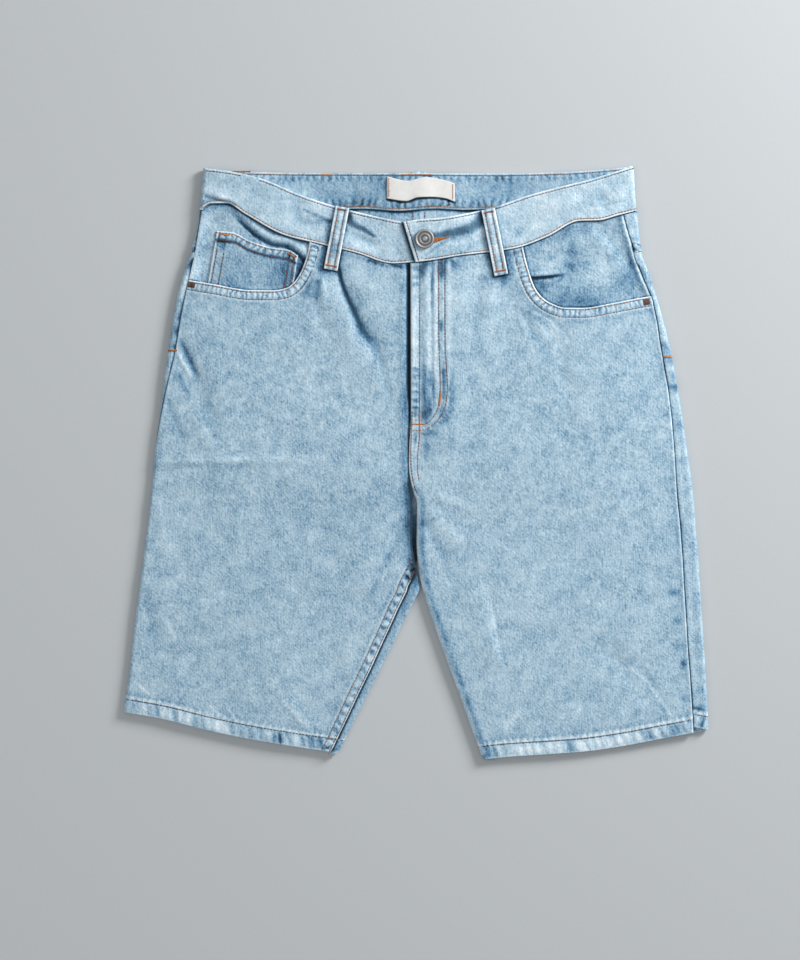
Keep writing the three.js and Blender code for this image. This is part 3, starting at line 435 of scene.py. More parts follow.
# %% Shell from two grids
def shell(name, face, back, marks, rim=0.12):
    """A closed thin piece between two grids of points in millimetres, with its marks."""
    rows, cols = face.shape[:2]
    r = np.concatenate([np.zeros(cols), np.arange(1, rows), np.full(cols - 1, rows - 1),
                        np.arange(rows - 2, 0, -1)]).astype(int)
    c = np.concatenate([np.arange(cols), np.full(rows - 1, cols - 1), np.arange(cols - 2, -1, -1),
                        np.zeros(rows - 2)]).astype(int)
    inside = face[np.clip(r, 1, rows - 2), np.clip(c, 1, cols - 2)]
    outward = face[r, c] - inside
    outward /= np.maximum(np.linalg.norm(outward, axis=1), 1e-9)[:, None]
    edge = (face[r, c] + back[r, c]) / 2 + outward * rim
    count = rows * cols
    points = np.vstack([face.reshape(-1, 3), back.reshape(-1, 3), edge]) * MM
    at = np.arange(count).reshape(rows, cols)
    quads = np.stack([at[:-1, :-1], at[1:, :-1], at[1:, 1:], at[:-1, 1:]], -1).reshape(-1, 4)
    ring = at[r, c]
    after, turn = np.roll(ring, -1), np.arange(len(ring)) + 2 * count
    next_turn = np.roll(turn, -1)
    faces = np.vstack([quads, quads[:, ::-1] + count,
                       np.stack([ring, turn, next_turn, after], -1)[:, ::-1],
                       np.stack([turn, ring + count, after + count, next_turn], -1)[:, ::-1]])
    a, b, d = (points[faces[:, k]] for k in (0, 1, 2))
    if np.einsum("ij,ij->i", a, np.cross(b, d)).sum() < 0:
        faces = faces[:, ::-1]
    made = solid(name, points, faces)
    for mark, values in marks.items():
        flat = np.concatenate([values.ravel(), values.ravel(), values[r, c]])
        made.data.attributes.new(mark, "FLOAT", "POINT").data.foreach_set("value", flat)
    return made


def solid(name, points, faces):
    """An object from points in metres and faces, smooth shaded, riding on the part."""
    mesh = bpy.data.meshes.new(name)
    mesh.from_pydata(points.tolist(), [], faces.tolist() if hasattr(faces, "tolist") else faces)
    mesh.polygons.foreach_set("use_smooth", np.ones(len(mesh.polygons), dtype=bool))
    mesh.update()
    made = bpy.data.objects.new(name, mesh)
    bpy.context.scene.collection.objects.link(made)
    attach(made, "root")
    return made

# %% [markdown]
# ## Materials from shared effects
# Washed denim shows the same few effects on every piece: a heather of pale and blue threads,
# the diagonal twill, dark lines where a seam puckers, and rubbed edges. Each effect is one
# node group with named sockets, so a facing and a hem differ only in the numbers they give.

# %% Small helpers for node trees
def srgb(red, green, blue):
    """A colour from screen values 0 to 255, as the linear values that nodes use."""
    def linear(v):
        v /= 255.0
        return v / 12.92 if v <= 0.04045 else ((v + 0.055) / 1.055) ** 2.4
    return (linear(red), linear(green), linear(blue), 1.0)


def node(tree, kind, inputs=None, **settings):
    """Adds a node, sets its options, and links or sets its inputs."""
    made = tree.nodes.new(kind)
    for name, value in settings.items():
        setattr(made, name, value)
    for socket, value in (inputs or {}).items():
        if isinstance(value, bpy.types.NodeSocket):
            tree.links.new(value, made.inputs[socket])
        else:
            made.inputs[socket].default_value = value
    return made


def sums(tree, operation, first, second=0.0, third=0.0, clamp=False):
    """A Math node's result."""
    made = node(tree, "ShaderNodeMath", {0: first, 1: second, 2: third}, operation=operation)
    made.use_clamp = clamp
    return made.outputs[0]


def group(name, inputs, outputs):
    """An empty node group with named sockets, its input node and its output node."""
    tree = bpy.data.node_groups.new(name, "ShaderNodeTree")
    for label, kind, start in inputs:
        socket = tree.interface.new_socket(label, in_out="INPUT", socket_type="NodeSocket" + kind)
        if start is not None:
            socket.default_value = start
    for label, kind in outputs:
        tree.interface.new_socket(label, in_out="OUTPUT", socket_type="NodeSocket" + kind)
    return tree, tree.nodes.new("NodeGroupInput").outputs, tree.nodes.new("NodeGroupOutput").inputs


def use(tree, made, inputs):
    """Places a node group in a material."""
    return node(tree, "ShaderNodeGroup", inputs, node_tree=made).outputs


def ramp(tree, value, stops):
    """A colour ramp: pairs of place and colour."""
    made = node(tree, "ShaderNodeValToRGB", {"Fac": value})
    elements = made.color_ramp.elements
    while len(elements) < len(stops):
        elements.new(0.5)
    for element, (at, colour) in zip(elements, stops):
        element.position = at
        element.color = colour
    return made.outputs["Color"]

# %% [markdown]
# ### Heather of the wash
# Bleached denim is a mix of pale and blue specks one or two millimetres wide, of clouds ten
# times that size, and of short streaks that follow the twill and the warp. Four noises, two
# of them stretched along those directions, are summed into one number.

# %% Heather group
heather, given, result = group(
    "heather",
    [("Place", "Vector", None), ("Speck", "Float", 1.0), ("Cloud", "Float", 1.0),
     ("Streak", "Float", 1.0)],
    [("Value", "Float")])


def stretched(tree, place, along, across, rate_along, rate_across):
    """Coordinates that make a noise long in one direction of the cloth."""
    parts = [node(tree, "ShaderNodeVectorMath", {0: place, 1: direction},
                  operation="DOT_PRODUCT").outputs["Value"] for direction in (along, across)]
    parts = [sums(tree, "MULTIPLY", part, rate)
             for part, rate in zip(parts, (rate_along, rate_across))]
    return node(tree, "ShaderNodeCombineXYZ", {0: parts[0], 1: parts[1]}).outputs[0]


def noise(tree, place, scale, detail=2.0, rough=0.5):
    """A noise around zero."""
    made = node(tree, "ShaderNodeTexNoise",
                {"Vector": place, "Scale": scale, "Detail": detail, "Roughness": rough})
    return sums(tree, "SUBTRACT", made.outputs["Fac"], 0.5)


SLANT = math.sqrt(0.5)
specks = noise(heather, given["Place"], 0.50, 2.0, 0.60)
clouds = noise(heather, given["Place"], 0.085, 2.0, 0.55)
diagonal = noise(heather, stretched(heather, given["Place"], (SLANT, -SLANT, 0),
                                    (SLANT, SLANT, 0.3), 0.13, 0.85), 1.0, 2.0, 0.6)
warp = noise(heather, stretched(heather, given["Place"], (0.12, 1, 0), (1, 0, 0.4),
                                0.10, 0.95), 1.0, 2.0, 0.6)
fine = sums(heather, "MULTIPLY", specks, given["Speck"])
slow = sums(heather, "MULTIPLY", clouds, given["Cloud"])
lines = sums(heather, "MULTIPLY", sums(heather, "ADD", diagonal, warp), given["Streak"])
heather.links.new(sums(heather, "ADD", sums(heather, "ADD", fine, slow), lines), result["Value"])

# %% [markdown]
# ### Twill
# Denim's weft hides under the warp in fine diagonal ridges, about one every 0.9 mm here. A
# sine across that diagonal, broken up a little by noise, gives the height for a bump.

# %% Twill group
twill, given, result = group(
    "twill", [("Place", "Vector", None), ("Pitch", "Float", 0.9)], [("Height", "Float")])
across = node(twill, "ShaderNodeVectorMath", {0: given["Place"], 1: (SLANT, -SLANT, 0.2)},
              operation="DOT_PRODUCT").outputs["Value"]
loose = sums(twill, "MULTIPLY", noise(twill, given["Place"], 1.6, 2.0, 0.6), 1.1)
turns = sums(twill, "DIVIDE", sums(twill, "ADD", across, loose), given["Pitch"])
wave = sums(twill, "SINE", sums(twill, "MULTIPLY", turns, 2 * math.pi))
uneven = sums(twill, "ADD", noise(twill, given["Place"], 2.6, 1.0), 0.8)
twill.links.new(sums(twill, "MULTIPLY", wave, uneven), result["Height"])

# %% [markdown]
# ### Seam puckers
# Where two rows of stitches draw a folded edge together, the cloth between them ripples
# every few millimetres. The mesh carries how many ripples along the seam each point is, so
# they stay at right angles to a curved seam, whatever the size of the mesh's faces.

# %% Pucker group
puckers, given, result = group(
    "seam puckers",
    [("Along", "Float", 0.0), ("Off", "Float", 0.0), ("Strength", "Float", 0.0)],
    [("Value", "Float")])
spread = node(puckers, "ShaderNodeCombineXYZ", {0: sums(puckers, "MULTIPLY", given["Along"], 0.55),
                                                1: sums(puckers, "MULTIPLY", given["Off"], 0.12)})
wander = sums(puckers, "MULTIPLY", noise(puckers, spread.outputs[0], 1.0, 2.0, 0.6), 11.0)
wave = sums(puckers, "SINE", sums(puckers, "MULTIPLY_ADD", given["Along"], 2 * math.pi, wander))
puckers.links.new(sums(puckers, "MULTIPLY", wave, given["Strength"]), result["Value"])

# %% [markdown]
# ### The colour of washed indigo
# One number from 0 to 1 says how much indigo the wash left, with painted shade from gaps,
# creases and edges added in: 0 is the dark inside a seam, 1 the almost white of a rubbed
# edge. A colour ramp turns it into the blues between.

# %% Indigo group
indigo, given, result = group("washed indigo", [("Wash", "Float", 0.5)], [("Color", "Color")])
indigo.links.new(ramp(indigo, given["Wash"], [
    (0.0, srgb(24, 40, 50)), (0.1, srgb(56, 96, 128)), (0.24, srgb(98, 139, 169)),
    (0.5, srgb(160, 188, 205)), (0.74, srgb(194, 216, 229)), (1.0, srgb(236, 244, 248))]),
    result["Color"])

# %% [markdown]
# ### Denim as a material
# The wash alone makes the blues down to a mid-blue. Where a fold is deeper the cloth is in
# its own shadow, so from there on the colour is multiplied by a dark teal, and the specks
# are calmed, as they can't be seen in a shadow.

# %% Denim as a material
def material(name, slot_colour):
    """A new material, its node tree and its shader."""
    made = bpy.data.materials.new(name)
    made.use_nodes = True
    made.diffuse_color = slot_colour
    return made, made.node_tree, made.node_tree.nodes["Principled BSDF"]


def placed(tree):
    """Object coordinates in millimetres."""
    where = node(tree, "ShaderNodeTexCoord").outputs["Object"]
    return node(tree, "ShaderNodeVectorMath", {0: where, "Scale": 1000.0},
                operation="SCALE").outputs["Vector"]


def mark(tree, name):
    """A number that the mesh carries at each point."""
    return node(tree, "ShaderNodeAttribute", attribute_name=name).outputs["Fac"]


# Below this the fade mark stands for painted shadow, multiplied in as a dark teal.
FADE_END = -0.62


def denim(name, shift=0.0, speck=0.68, cloud=0.46, streak=0.58):
    """Washed denim: shift moves it from pale to blue, the others set its texture."""
    made, tree, shader = material(name, srgb(160, 190, 207))
    where = placed(tree)
    mixed = use(tree, heather, {"Place": where, "Speck": speck, "Cloud": cloud,
                                "Streak": streak})["Value"]
    ripple = use(tree, puckers, {"Along": mark(tree, "along"), "Off": mark(tree, "off"),
                                 "Strength": mark(tree, "pucker")})["Value"]
    fade = mark(tree, "fade")
    calm = sums(tree, "MULTIPLY_ADD", sums(tree, "MULTIPLY", fade, -1.0, clamp=True), -0.6, 1.0)
    wash = sums(tree, "MULTIPLY_ADD", mixed, calm, 0.5 + shift)
    wash = sums(tree, "MULTIPLY_ADD", sums(tree, "MAXIMUM", fade, FADE_END), 0.5, wash)
    wash = sums(tree, "MULTIPLY_ADD", ripple, 0.34, wash, clamp=True)
    deep = sums(tree, "SUBTRACT", FADE_END, fade, clamp=True)
    dark = ramp(tree, deep, [(0.0, (1, 1, 1, 1)), (0.25, srgb(178, 186, 190)),
                             (0.6, srgb(106, 118, 123)), (1.0, srgb(66, 74, 77))])
    colour = node(tree, "ShaderNodeVectorMath", {0: use(tree, indigo, {"Wash": wash})["Color"],
                                                 1: dark}, operation="MULTIPLY").outputs["Vector"]
    weave = use(tree, twill, {"Place": where, "Pitch": 0.9})["Height"]
    height = sums(tree, "MULTIPLY", weave, 0.035)
    height = sums(tree, "MULTIPLY_ADD", mixed, 0.20, height)
    height = sums(tree, "MULTIPLY_ADD", ripple, 0.22, height)
    bump = node(tree, "ShaderNodeBump", {"Height": height, "Strength": 1.0, "Distance": MM})
    tree.links.new(colour, shader.inputs["Base Color"])
    tree.links.new(bump.outputs["Normal"], shader.inputs["Normal"])
    shader.inputs["Roughness"].default_value = 0.93
    shader.inputs["Specular IOR Level"].default_value = 0.18
    shader.inputs["Sheen Weight"].default_value = 0.10
    shader.inputs["Sheen Roughness"].default_value = 0.6
    return made


DENIM = denim("denim_washed")
DENIM_DEEP = denim("denim_deep_washed", shift=-0.05, cloud=0.6)
DENIM_BAND = denim("denim_band_washed", shift=0.09, cloud=0.45)
print("materials:", [m.name for m in (DENIM, DENIM_DEEP, DENIM_BAND)])


def finish_with(piece, finish):
    """Gives a piece its material."""
    piece.data.materials.append(finish)
    return piece

# %% [markdown]
# ## Cutting and laying a piece
# A piece is known by its flat pattern: where each end of every row lies, its top and its
# bottom. Laying it sends each point of the pattern round the leg's fold, and moves it by
# the seams' relief along the cloth's own normal. Stitches later use the same function, so
# they sit on the cloth by construction.

# %% Ends of a piece
FAR = 400.0


def turned(side, fold, past):
    """An end that turns over a fold line and runs past it."""
    return {"fold": fold, "end": lambda y: fold(y) + side * (EASE + past(y))}


def plain(side, x_at):
    """An end that stays flat."""
    return {"fold": lambda y: x_at(y) + side * FAR, "end": x_at}


def on_cloth(piece, s, y):
    """Where a point of the pattern lies once the cloth is folded: x, z and its normal."""
    low_fold, high_fold = piece["low"]["fold"](y), piece["high"]["fold"](y)
    to_low, to_high = s - (low_fold - EASE), high_fold + EASE - s
    side = np.where(to_low < to_high, -1.0, 1.0)
    along = np.minimum(to_low, to_high)
    fold = np.where(side < 0, low_fold, high_fold)
    turn = np.clip(along, -QUARTER, QUARTER) / FOLD
    over = np.maximum(-along - QUARTER, 0)
    bent = fold - side * (FOLD_OUTER - FOLD * np.cos(turn) + over)
    x = np.where(along >= QUARTER, s, bent)
    z = FOLD_OUTER + piece["layer"] * FOLD * np.sin(turn)
    return x, z, side * np.cos(turn), piece["layer"] * np.sin(turn)

# %% Laying a piece of cloth
WAVES = [(46.0, 0.42, 5), (19.0, 0.20, 6), (8.0, 0.08, 7)]
FOLD_SIZE = 1.6


def detail(piece, s, y):
    """Relief, wash and painted shade, and pucker marks of a piece, from its seams, folds and its own extras.
    """
    height, fade, marks = felt(piece["seams"], s, y, piece["seed"])
    for size, amount, seed in WAVES:
        height = height + piece["wavy"] * amount * lattice(s, y, size, seed + piece["seed"])
    folds = FOLD_SIZE * creases(s, y, piece["folds"])
    # Folds tint the cloth: paler where raised, partly rubbed wear and partly painted highlight, darker in
    # their hollows as painted shade.
    height, fade = height + folds, fade + 0.26 * np.clip(folds, -1.2, 1.2)
    if piece["extra"]:
        more, wash_and_shade = piece["extra"](s, y)
        height, fade = height + more, fade + wash_and_shade
    marks["fade"] = np.clip(fade, -1.4, 1.2)
    return height, marks


def lay(piece, s, y, out):
    """Points at a distance out of the cloth's middle, for places s, y of its pattern."""
    s, y = np.broadcast_arrays(np.asarray(s, dtype=float), np.asarray(y, dtype=float))
    x, z, nx, nz = on_cloth(piece, s, y)
    shift = out - piece["dip"](s, y) + detail(piece, s, y)[0]
    return settle(x + nx * shift, y, z + nz * shift + piece["rise"](x, y))

# %% The grid of a piece
def crowded(run, pitch, first=0.45, growth=1.3):
    """Distances from an edge, close together at first and then at an even pitch."""
    steps, total = [0.0], first
    step = first
    while total < run:
        steps.append(total)
        step = min(step * growth, pitch)
        total += step
    return np.array(steps)


def marks_across(piece, y):
    """The named columns of a piece at each height, kept in order."""
    start, stop = piece["low"]["end"](y), piece["high"]["end"](y)
    near_low = [start + d for d in piece["low_steps"]]
    near_high = [stop - d for d in piece["high_steps"][::-1]]
    upper = smooth((y - 40.0) / 110.0) if piece["blend"] else 0.0
    count = len(piece["middle"]) + 1
    between = []
    for i, at in enumerate(piece["middle"]):
        spread = near_low[-1] + (near_high[0] - near_low[-1]) * (i + 1) / count
        between.append(spread + (at - spread) * upper if piece["blend"] else spread)
    rows = np.stack(near_low + between + near_high)
    for k in range(1, len(rows)):
        rows[k] = np.maximum(rows[k], rows[k - 1] + 0.2)
    rows[-1] = stop
    for k in range(len(rows) - 2, -1, -1):
        rows[k] = np.minimum(rows[k], rows[k + 1] - 0.2)
    return rows


def columns(piece, y):
    """Unrolled place of every fine column, at its own heights."""
    rows = marks_across(piece, y)
    pick = np.broadcast_to(piece["pick"], y.shape)[None]
    low = np.take_along_axis(rows, pick, axis=0)[0]
    high = np.take_along_axis(rows, pick + 1, axis=0)[0]
    return low + (high - low) * piece["part"]


def divide(piece):
    """Chooses how many fine columns lie between the named ones."""
    probe = np.array([170.0, 120.0, 40.0, -40.0, -120.0, -200.0])
    rows = marks_across(piece, probe)
    widths = np.diff(rows, axis=0)
    middle = rows[:-1, 0] + widths[:, 0] / 2
    pitch = np.full(len(middle), piece["pitch"])
    for x0, x1, fine in piece["fine"]:
        pitch[(middle > x0) & (middle < x1)] = fine
    count = np.ceil(np.maximum(widths[:, 0] / pitch, widths.max(axis=1) / (1.7 * piece["pitch"])))
    count = np.maximum(count, 1).astype(int)
    pick = np.concatenate([np.full(n, k) for k, n in enumerate(count)] + [[len(count) - 1]])
    part = np.concatenate([np.arange(n) / n for n in count] + [[1.0]])
    piece["pick"], piece["part"] = pick.astype(int), part


def heights(piece):
    """Heights of every point: crowded below the top, even on the leg, crowded in the hem."""
    def meet(edge, guess):
        y = np.full((1, len(piece["pick"])), float(guess))
        for _ in range(24):
            y = y * 0.3 + edge(columns(piece, y)) * 0.7
        return y[0]
    top, low = meet(piece["top"], piece["guess_top"]), meet(piece["bottom"], piece["guess_low"])
    upper = crowded(14.0, 1.2)[:, None]
    lower = crowded(15.0, 1.2)[::-1, None]
    first, last = top - upper[-1], low + lower[0]
    turn = np.full_like(first, piece["turn_at"])
    share = np.linspace(0, 1, piece["upper_rows"])[1:, None]
    leg = np.linspace(0, 1, piece["lower_rows"])[1:-1, None]
    rows = [top - upper]
    if piece["lower_rows"] > 0:
        rows += [first + (turn - first) * share, turn + (last - turn) * leg]
    else:
        rows += [first + (last - first) * share[:-1]]
    return np.vstack(rows + [low + lower])

# %% A cloth piece from its pattern
PLAIN_PIECE = {
    "thick": CLOTH, "hem": False, "blend": False, "middle": [], "fine": [], "pitch": 2.3,
    "low_steps": crowded(20.0, 1.3), "high_steps": crowded(20.0, 1.3), "seams": [],
    "folds": [], "extra": None, "wavy": 1.0, "seed": 0, "turn_at": 84.0, "upper_rows": 34,
    "lower_rows": 145, "guess_top": 190.0, "guess_low": -268.0,
    "dip": lambda s, y: 0.0, "rise": lambda x, y: 0.0,
}


def cut_cloth(name, **facts):
    """Cuts, lays and thickens one piece of cloth, and remembers its pattern."""
    piece = {**PLAIN_PIECE, **facts, "name": name}
    divide(piece)
    y = heights(piece)
    s = columns(piece, y)
    height, marks = detail(piece, s, y)
    x, z, nx, nz = on_cloth(piece, s, y)
    shift = height - piece["dip"](s, y)
    rise = piece["rise"](x, y)
    inner = np.full_like(y, -piece["thick"] / 2)
    if piece["hem"]:
        inner = inner - CLOTH * (1 - smooth((y - piece["bottom"](s) - HEM_DEPTH + 0.5) / 1.0))
    face, back = (settle(x + nx * (shift + out), y, z + nz * (shift + out) + rise)
                  for out in (piece["thick"] / 2, inner))
    made = shell(name + "_cloth", face, back, marks)
    wide, tall = s.max() - s.min(), y.max() - y.min()
    edge_s = np.concatenate([s[0], s[:, -1], s[-1, ::-1], s[::-1, 0]])
    edge_y = np.concatenate([y[0], y[:, -1], y[-1, ::-1], y[::-1, 0]])
    area = abs(np.dot(edge_s, np.roll(edge_y, 1)) - np.dot(edge_y, np.roll(edge_s, 1))) / 2
    piece["object"], piece["cut"] = made, (wide * MM, tall * MM, area * MM * MM)
    print(name, s.shape, "cut", round(wide), "x", round(tall), "mm, area", round(area / 100), "cm2")
    return piece


def declare(piece, node_name, finish):
    """Gives a laid piece its material and hides the part it replaces."""
    made = piece["object"]
    finish_with(made, finish)
    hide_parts(node_name)

# %% [markdown]
# ## Sections of the seams
# Each kind of seam has one section, used wherever that seam runs: a bound pocket mouth, a
# felled inseam, a hem, the join under the waistband and the open side seam.

# %% Seam sections
MOUTH = {
    "height": [
        (0, -0.45, 0.6), (1.2, 0.15, 0.6), (1.9, -0.18, 0.4), (5.6, 0.34, 2.6), (9.4, -0.4, 0.6),
        (11, 0.14, 1),
    ],
    "shade": [
        (0.5, 0.85, 0.8), (1.9, -0.25, 0.5), (5.6, 0.12, 2.5), (8.8, -0.45, 0.6), (10.4, 0.3, 0.9),
        (14, -0.14, 2.5),
    ],
    "bars": (0.66, 5.4, 3.7, 4.8),
    "patchy": 0.35,
}
FELLED = {
    "height": [(0, -0.5, 0.6), (1.3, -0.15, 0.4), (4.9, 0.45, 2.6), (8.6, -0.4, 0.6)],
    "shade": [
        (0.4, 0.6, 0.7), (4.9, -0.08, 2.4), (8.6, -0.4, 0.6), (10.2, 0.26, 0.9), (13, -0.14, 2.6),
    ],
    "bars": (0.85, 4.9, 3.4, 9),
    "patchy": 0.4,
}
HEM = {
    "height": [(0, -0.25, 0.7), (6.5, 0.3, 5), (12.6, -0.42, 0.7), (14.6, 0.18, 1.4)],
    "shade": [
        (0.4, 0.4, 0.8), (6.5, 0.2, 4.6), (12.5, -0.5, 0.6), (14.1, 0.75, 1), (18.2, -0.2, 2.6),
    ],
    "waves": (0.2, 9.5, 6.2, 6, 0.25),
    "patchy": 0.4,
    "patches": (11, 0.5, 1.2, 6, 5.6),
    "bars": (0.5, 14.6, 3.2, 6.5),
}
# The dark line just under the band's lower edge is painted shadow of the band.
UNDER_BAND = {
    "height": [(0, -1, 0.9), (2.6, 0.25, 1.4)],
    "shade": [(0, -1.5, 1), (3.8, -0.16, 2.6)],
    "patchy": 0.3,
    "bars": (0.25, 3.8, 2.2, 6),
}
SIDE = {
    "height": [(0, -0.4, 0.5), (1.4, 0.18, 0.9), (4.5, -0.1, 1.8)],
    "shade": [(0.5, 0.45, 0.6), (4.2, -0.12, 2.2)],
    "patchy": 0.3,
}
# On a back, the dark line at the front's folded edge is painted shadow of that edge.
SIDE_BACK = {
    "height": [(0, -0.15, 0.5), (3.4, 0.2, 1.6)],
    "shade": [(0, -1, 0.8), (3.8, 0.14, 1.8)],
    "patchy": 0.2,
}
NEEDLE = {"height": [(0.0, -0.28, 0.7)], "shade": [(0.0, -0.35, 0.6), (1.2, 0.26, 0.7)]}
FRONT_LOOPS = {"right": (-70.6, 245.8, -82.0, 185.6), "left": (69.2, 243.6, 81.8, 180.6)}


def loop_painted_shadow(x, y):
    """Painted shadow that a belt loop casts on the cloth round it."""
    total = 0.0
    for x0, y0, x1, y1 in FRONT_LOOPS.values():
        long = math.hypot(x1 - x0, y1 - y0)
        ux, uy = (x1 - x0) / long, (y1 - y0) / long
        down, across = (x - x0) * ux + (y - y0) * uy, (x - x0) * uy - (y - y0) * ux
        off = np.hypot(np.maximum(np.abs(across) - LOOP_WIDTH / 2, 0),
                       np.maximum(np.maximum(down - long, -down), 0))
        total = total + bell(off, 0, 1.3) + 0.20 * bell(off, 3.0, 2.6)
    return total


def edge_line(edge, low, high, step=4.0):
    """An edge of the pattern as a line, from a lower to a higher place across it."""
    x = np.arange(low, high + step, step)
    return even(np.column_stack([x, edge(x)]), 1.5)


def end_line(end, top, bottom, step=4.0):
    """A side end of the pattern as a line, from top to bottom."""
    y = np.arange(top, bottom - step, -step)
    return even(np.column_stack([end(y), y]), 1.5)

# %% [markdown]
# ## The fronts
# The left front laps over the right one at the fly, where the eye goes first: a deep gap
# with painted shadow, a pale folded edge, a topstitch and the double curve that holds the fly
# shield. Its small folds are drawn uneven, from the mouth of each pocket and from the crotch,
# and the pale and dark lines along them are partly rubbed wear and partly painted shading.

# %% Left front
HALF_GAP = SEAM_GAP / 2
fly_over = turned(-1, reader(FLY_OVER, 1), reader(FLY_OVER, 2))
left_out = turned(1, left_edge, lambda y: -left_seam(y) - HALF_GAP)
J_INNER = through([
    (21.7, 194), (22.1, 118.1), (23, 88.7), (23.3, 67.2), (20.4, 50.9), (14.6, 41.9), (8.4, 37.6),
    (-4.4, 37),
])
J_OUTER = through([
    (28, 194), (27.9, 118.1), (29.8, 84), (30, 67.2), (27.8, 53.8), (22.4, 43), (14.6, 35),
    (6.4, 31.6), (-4.4, 31.1),
])
FLY_EDGE = through([(3.5, 194.0), (3.5, 108.0), (3.3, 22.1)])
CROTCH_LEFT = through([(2.9, 24.0), (1.6, 5.8), (1.8, -9.0), (3.4, -18.0)])
CROTCH_EDGE = through([(-3.6, 49.9), (-4.6, 24.0), (-5.0, 10.6), (-4.6, -6.0), (-2.6, -18.0), (0.6, -29.0)])


def left_front_top(x):
    """Top of the left front: the band's lower edge, then the pocket mouth."""
    return np.where(x > MOUTH_LEFT[0][0], mouth_left(x), band_low_left(x)) - SEAM_GAP


def spot(x, y, at_x, at_y, wide, tall):
    """A soft oval patch."""
    return np.exp(-(((x - at_x) / wide) ** 2) - ((y - at_y) / tall) ** 2)


def fly_ridges(s, y):
    """The fly's long ridges, its rubbed middle, the dark blotches by its stitches, the front's patches and
    crease lines, and the belt loop's painted shadow.
    """
    run = smooth((y - 50.0) / 20.0) * smooth((200.0 - y) / 6.0)
    height = run * (0.45 * bell(s, 11.2, 2.6) - 0.35 * bell(s, 15.4, 1.4)
                    + 0.40 * bell(s, 18.4, 1.8) + 0.25 * bell(s, -1.5, 2.4))
    thread = 0.5 + 0.5 * lattice(s * 9.0, y, 12.0, 12)
    fade = run * (0.62 * bell(s, 11.2, 3.4) + 0.60 * bell(s, 18.4, 1.8)
                  + 0.50 * bell(s, -1.4, 2.8) - 0.30 * thread * bell(s, 12, 7.0, 4))
    fade = fade - 0.45 * spot(s, y, 15.4, 160.0, 1.2, 24.0)
    dark = blotches(s, y, FLY_BLOTCHES)
    fade = fade - DARKEST * np.tanh(dark / DARKEST)
    fade = fade + 0.45 * smooth((36.0 - s) / 5.0) * smooth((s - 29.6) / 1.6) * run
    # The front's wash patches with painted shade, its crease lines, and the belt loop's painted shadow.
    loop_shadow = loop_painted_shadow(s, y)
    fade = fade + blotches(s, y, LEFT_WASH_AND_SHADE) + creases(s, y, LEFT_CREASE_WEAR_AND_SHADING) - 1.9 * loop_shadow
    return height - 0.3 * loop_shadow, fade


def blotches(s, y, rows):
    """Wide soft patches, pale above zero and blue below: place, size and amount."""
    return sum(amount * spot(s, y, at_x, at_y, wide, tall)
               for at_x, at_y, wide, tall, amount in rows)


def patched(rows):
    """What patches alone add to a piece: no relief, only colour, which is wash and, in some tables, painted
    shadow.
    """
    return lambda s, y: (0.0, blotches(s, y, rows))


DARKEST = 0.95
FLY_BLOTCHES = [
    (24.6, 186, 4.2, 9, 1.3), (30.5, 194.5, 4, 2.4, 1.1), (11.5, 192.8, 4, 3.6, 1.3),
    (4.4, 183, 2.6, 6, 0.9), (24, 131, 2, 5, 1.1), (22.4, 112, 1.4, 5, 0.6), (8, 188, 3, 7, 1),
    (0, 186.5, 3.4, 2.4, 1.6), (-0.6, 178.5, 3.2, 2, 1.5), (-1, 171.5, 3, 1.8, 1.2),
    (9, 86, 1.7, 8, 0.9), (9.2, 64, 1.9, 11, 1.3), (13.2, 82, 1.6, 8, 0.8), (12.4, 58, 1.4, 7, 0.7),
    (17.6, 74, 1.7, 11, 1.2), (-0.9, 89.6, 2.9, 1.9, 2), (-0.9, 83.2, 2.9, 1.9, 2.2),
    (-0.9, 75.6, 2.9, 2, 2.2), (-0.9, 68.4, 2.9, 2, 2.2), (-0.9, 60.2, 2.9, 2, 2.2),
    (-0.9, 53.1, 2.9, 1.9, 2), (-0.9, 46.8, 2.8, 1.6, 1.05), (8.6, 46, 3.6, 5, 1.2),
    (14, 49, 2, 4, 0.8), (26.4, 88, 2.4, 3, 0.8), (26.6, 74, 1.6, 12, 0.7),
    (33.4, 66, 2.4, 18, 0.7), (28, 42, 5, 5, 0.7), (13, 29, 8, 2.4, 0.9), (10, 16, 3.6, 9, 0.6),
    (-0.6, 22, 1.6, 4, 0.8), (37, 190, 5, 4, 0.8), (15.6, 176, 1.3, 9, 0.8),
    (11, 80, 5.5, 12, 0.38), (11, 58, 6, 13, 0.42), (6.4, 66, 1.8, 22, 0.4), (27, 76, 3, 14, 0.42),
    (25.4, 50, 4, 7, 0.5), (17, 37, 7, 3.4, 0.5), (22, 184, 10, 6, 0.3), (32.6, 70, 3.4, 18, 0.3),
]
# Thin pale and dark lines along small folds: pale rubbed crease lines, and painted highlight and shade on
# the folds' sides; from, to, half-width, amount.
LEFT_CREASE_WEAR_AND_SHADING = [
    (226.6, -216.9, 246.7, -243.8, 1.4, 0.5), (222, -214, 240, -240, 1.4, -0.3),
    (204, -196, 226, -212, 1.3, 0.4), (112, 146, 130, 136, 1.3, 0.5),
    (108, 144, 124, 132, 2.4, -0.3), (113, 128, 132, 96, 4.6, -0.16), (104, 126, 120, 92, 4, 0.1),
    (2, -60, 22, -52, 3, -0.3), (18, -96, 34, -120, 1.4, 0.35), (70, -124, 80, -182, 1.1, 0.42),
    (84, -256, 100, -238, 1.3, 0.5), (150, -250, 160, -232, 1.3, 0.4),
]
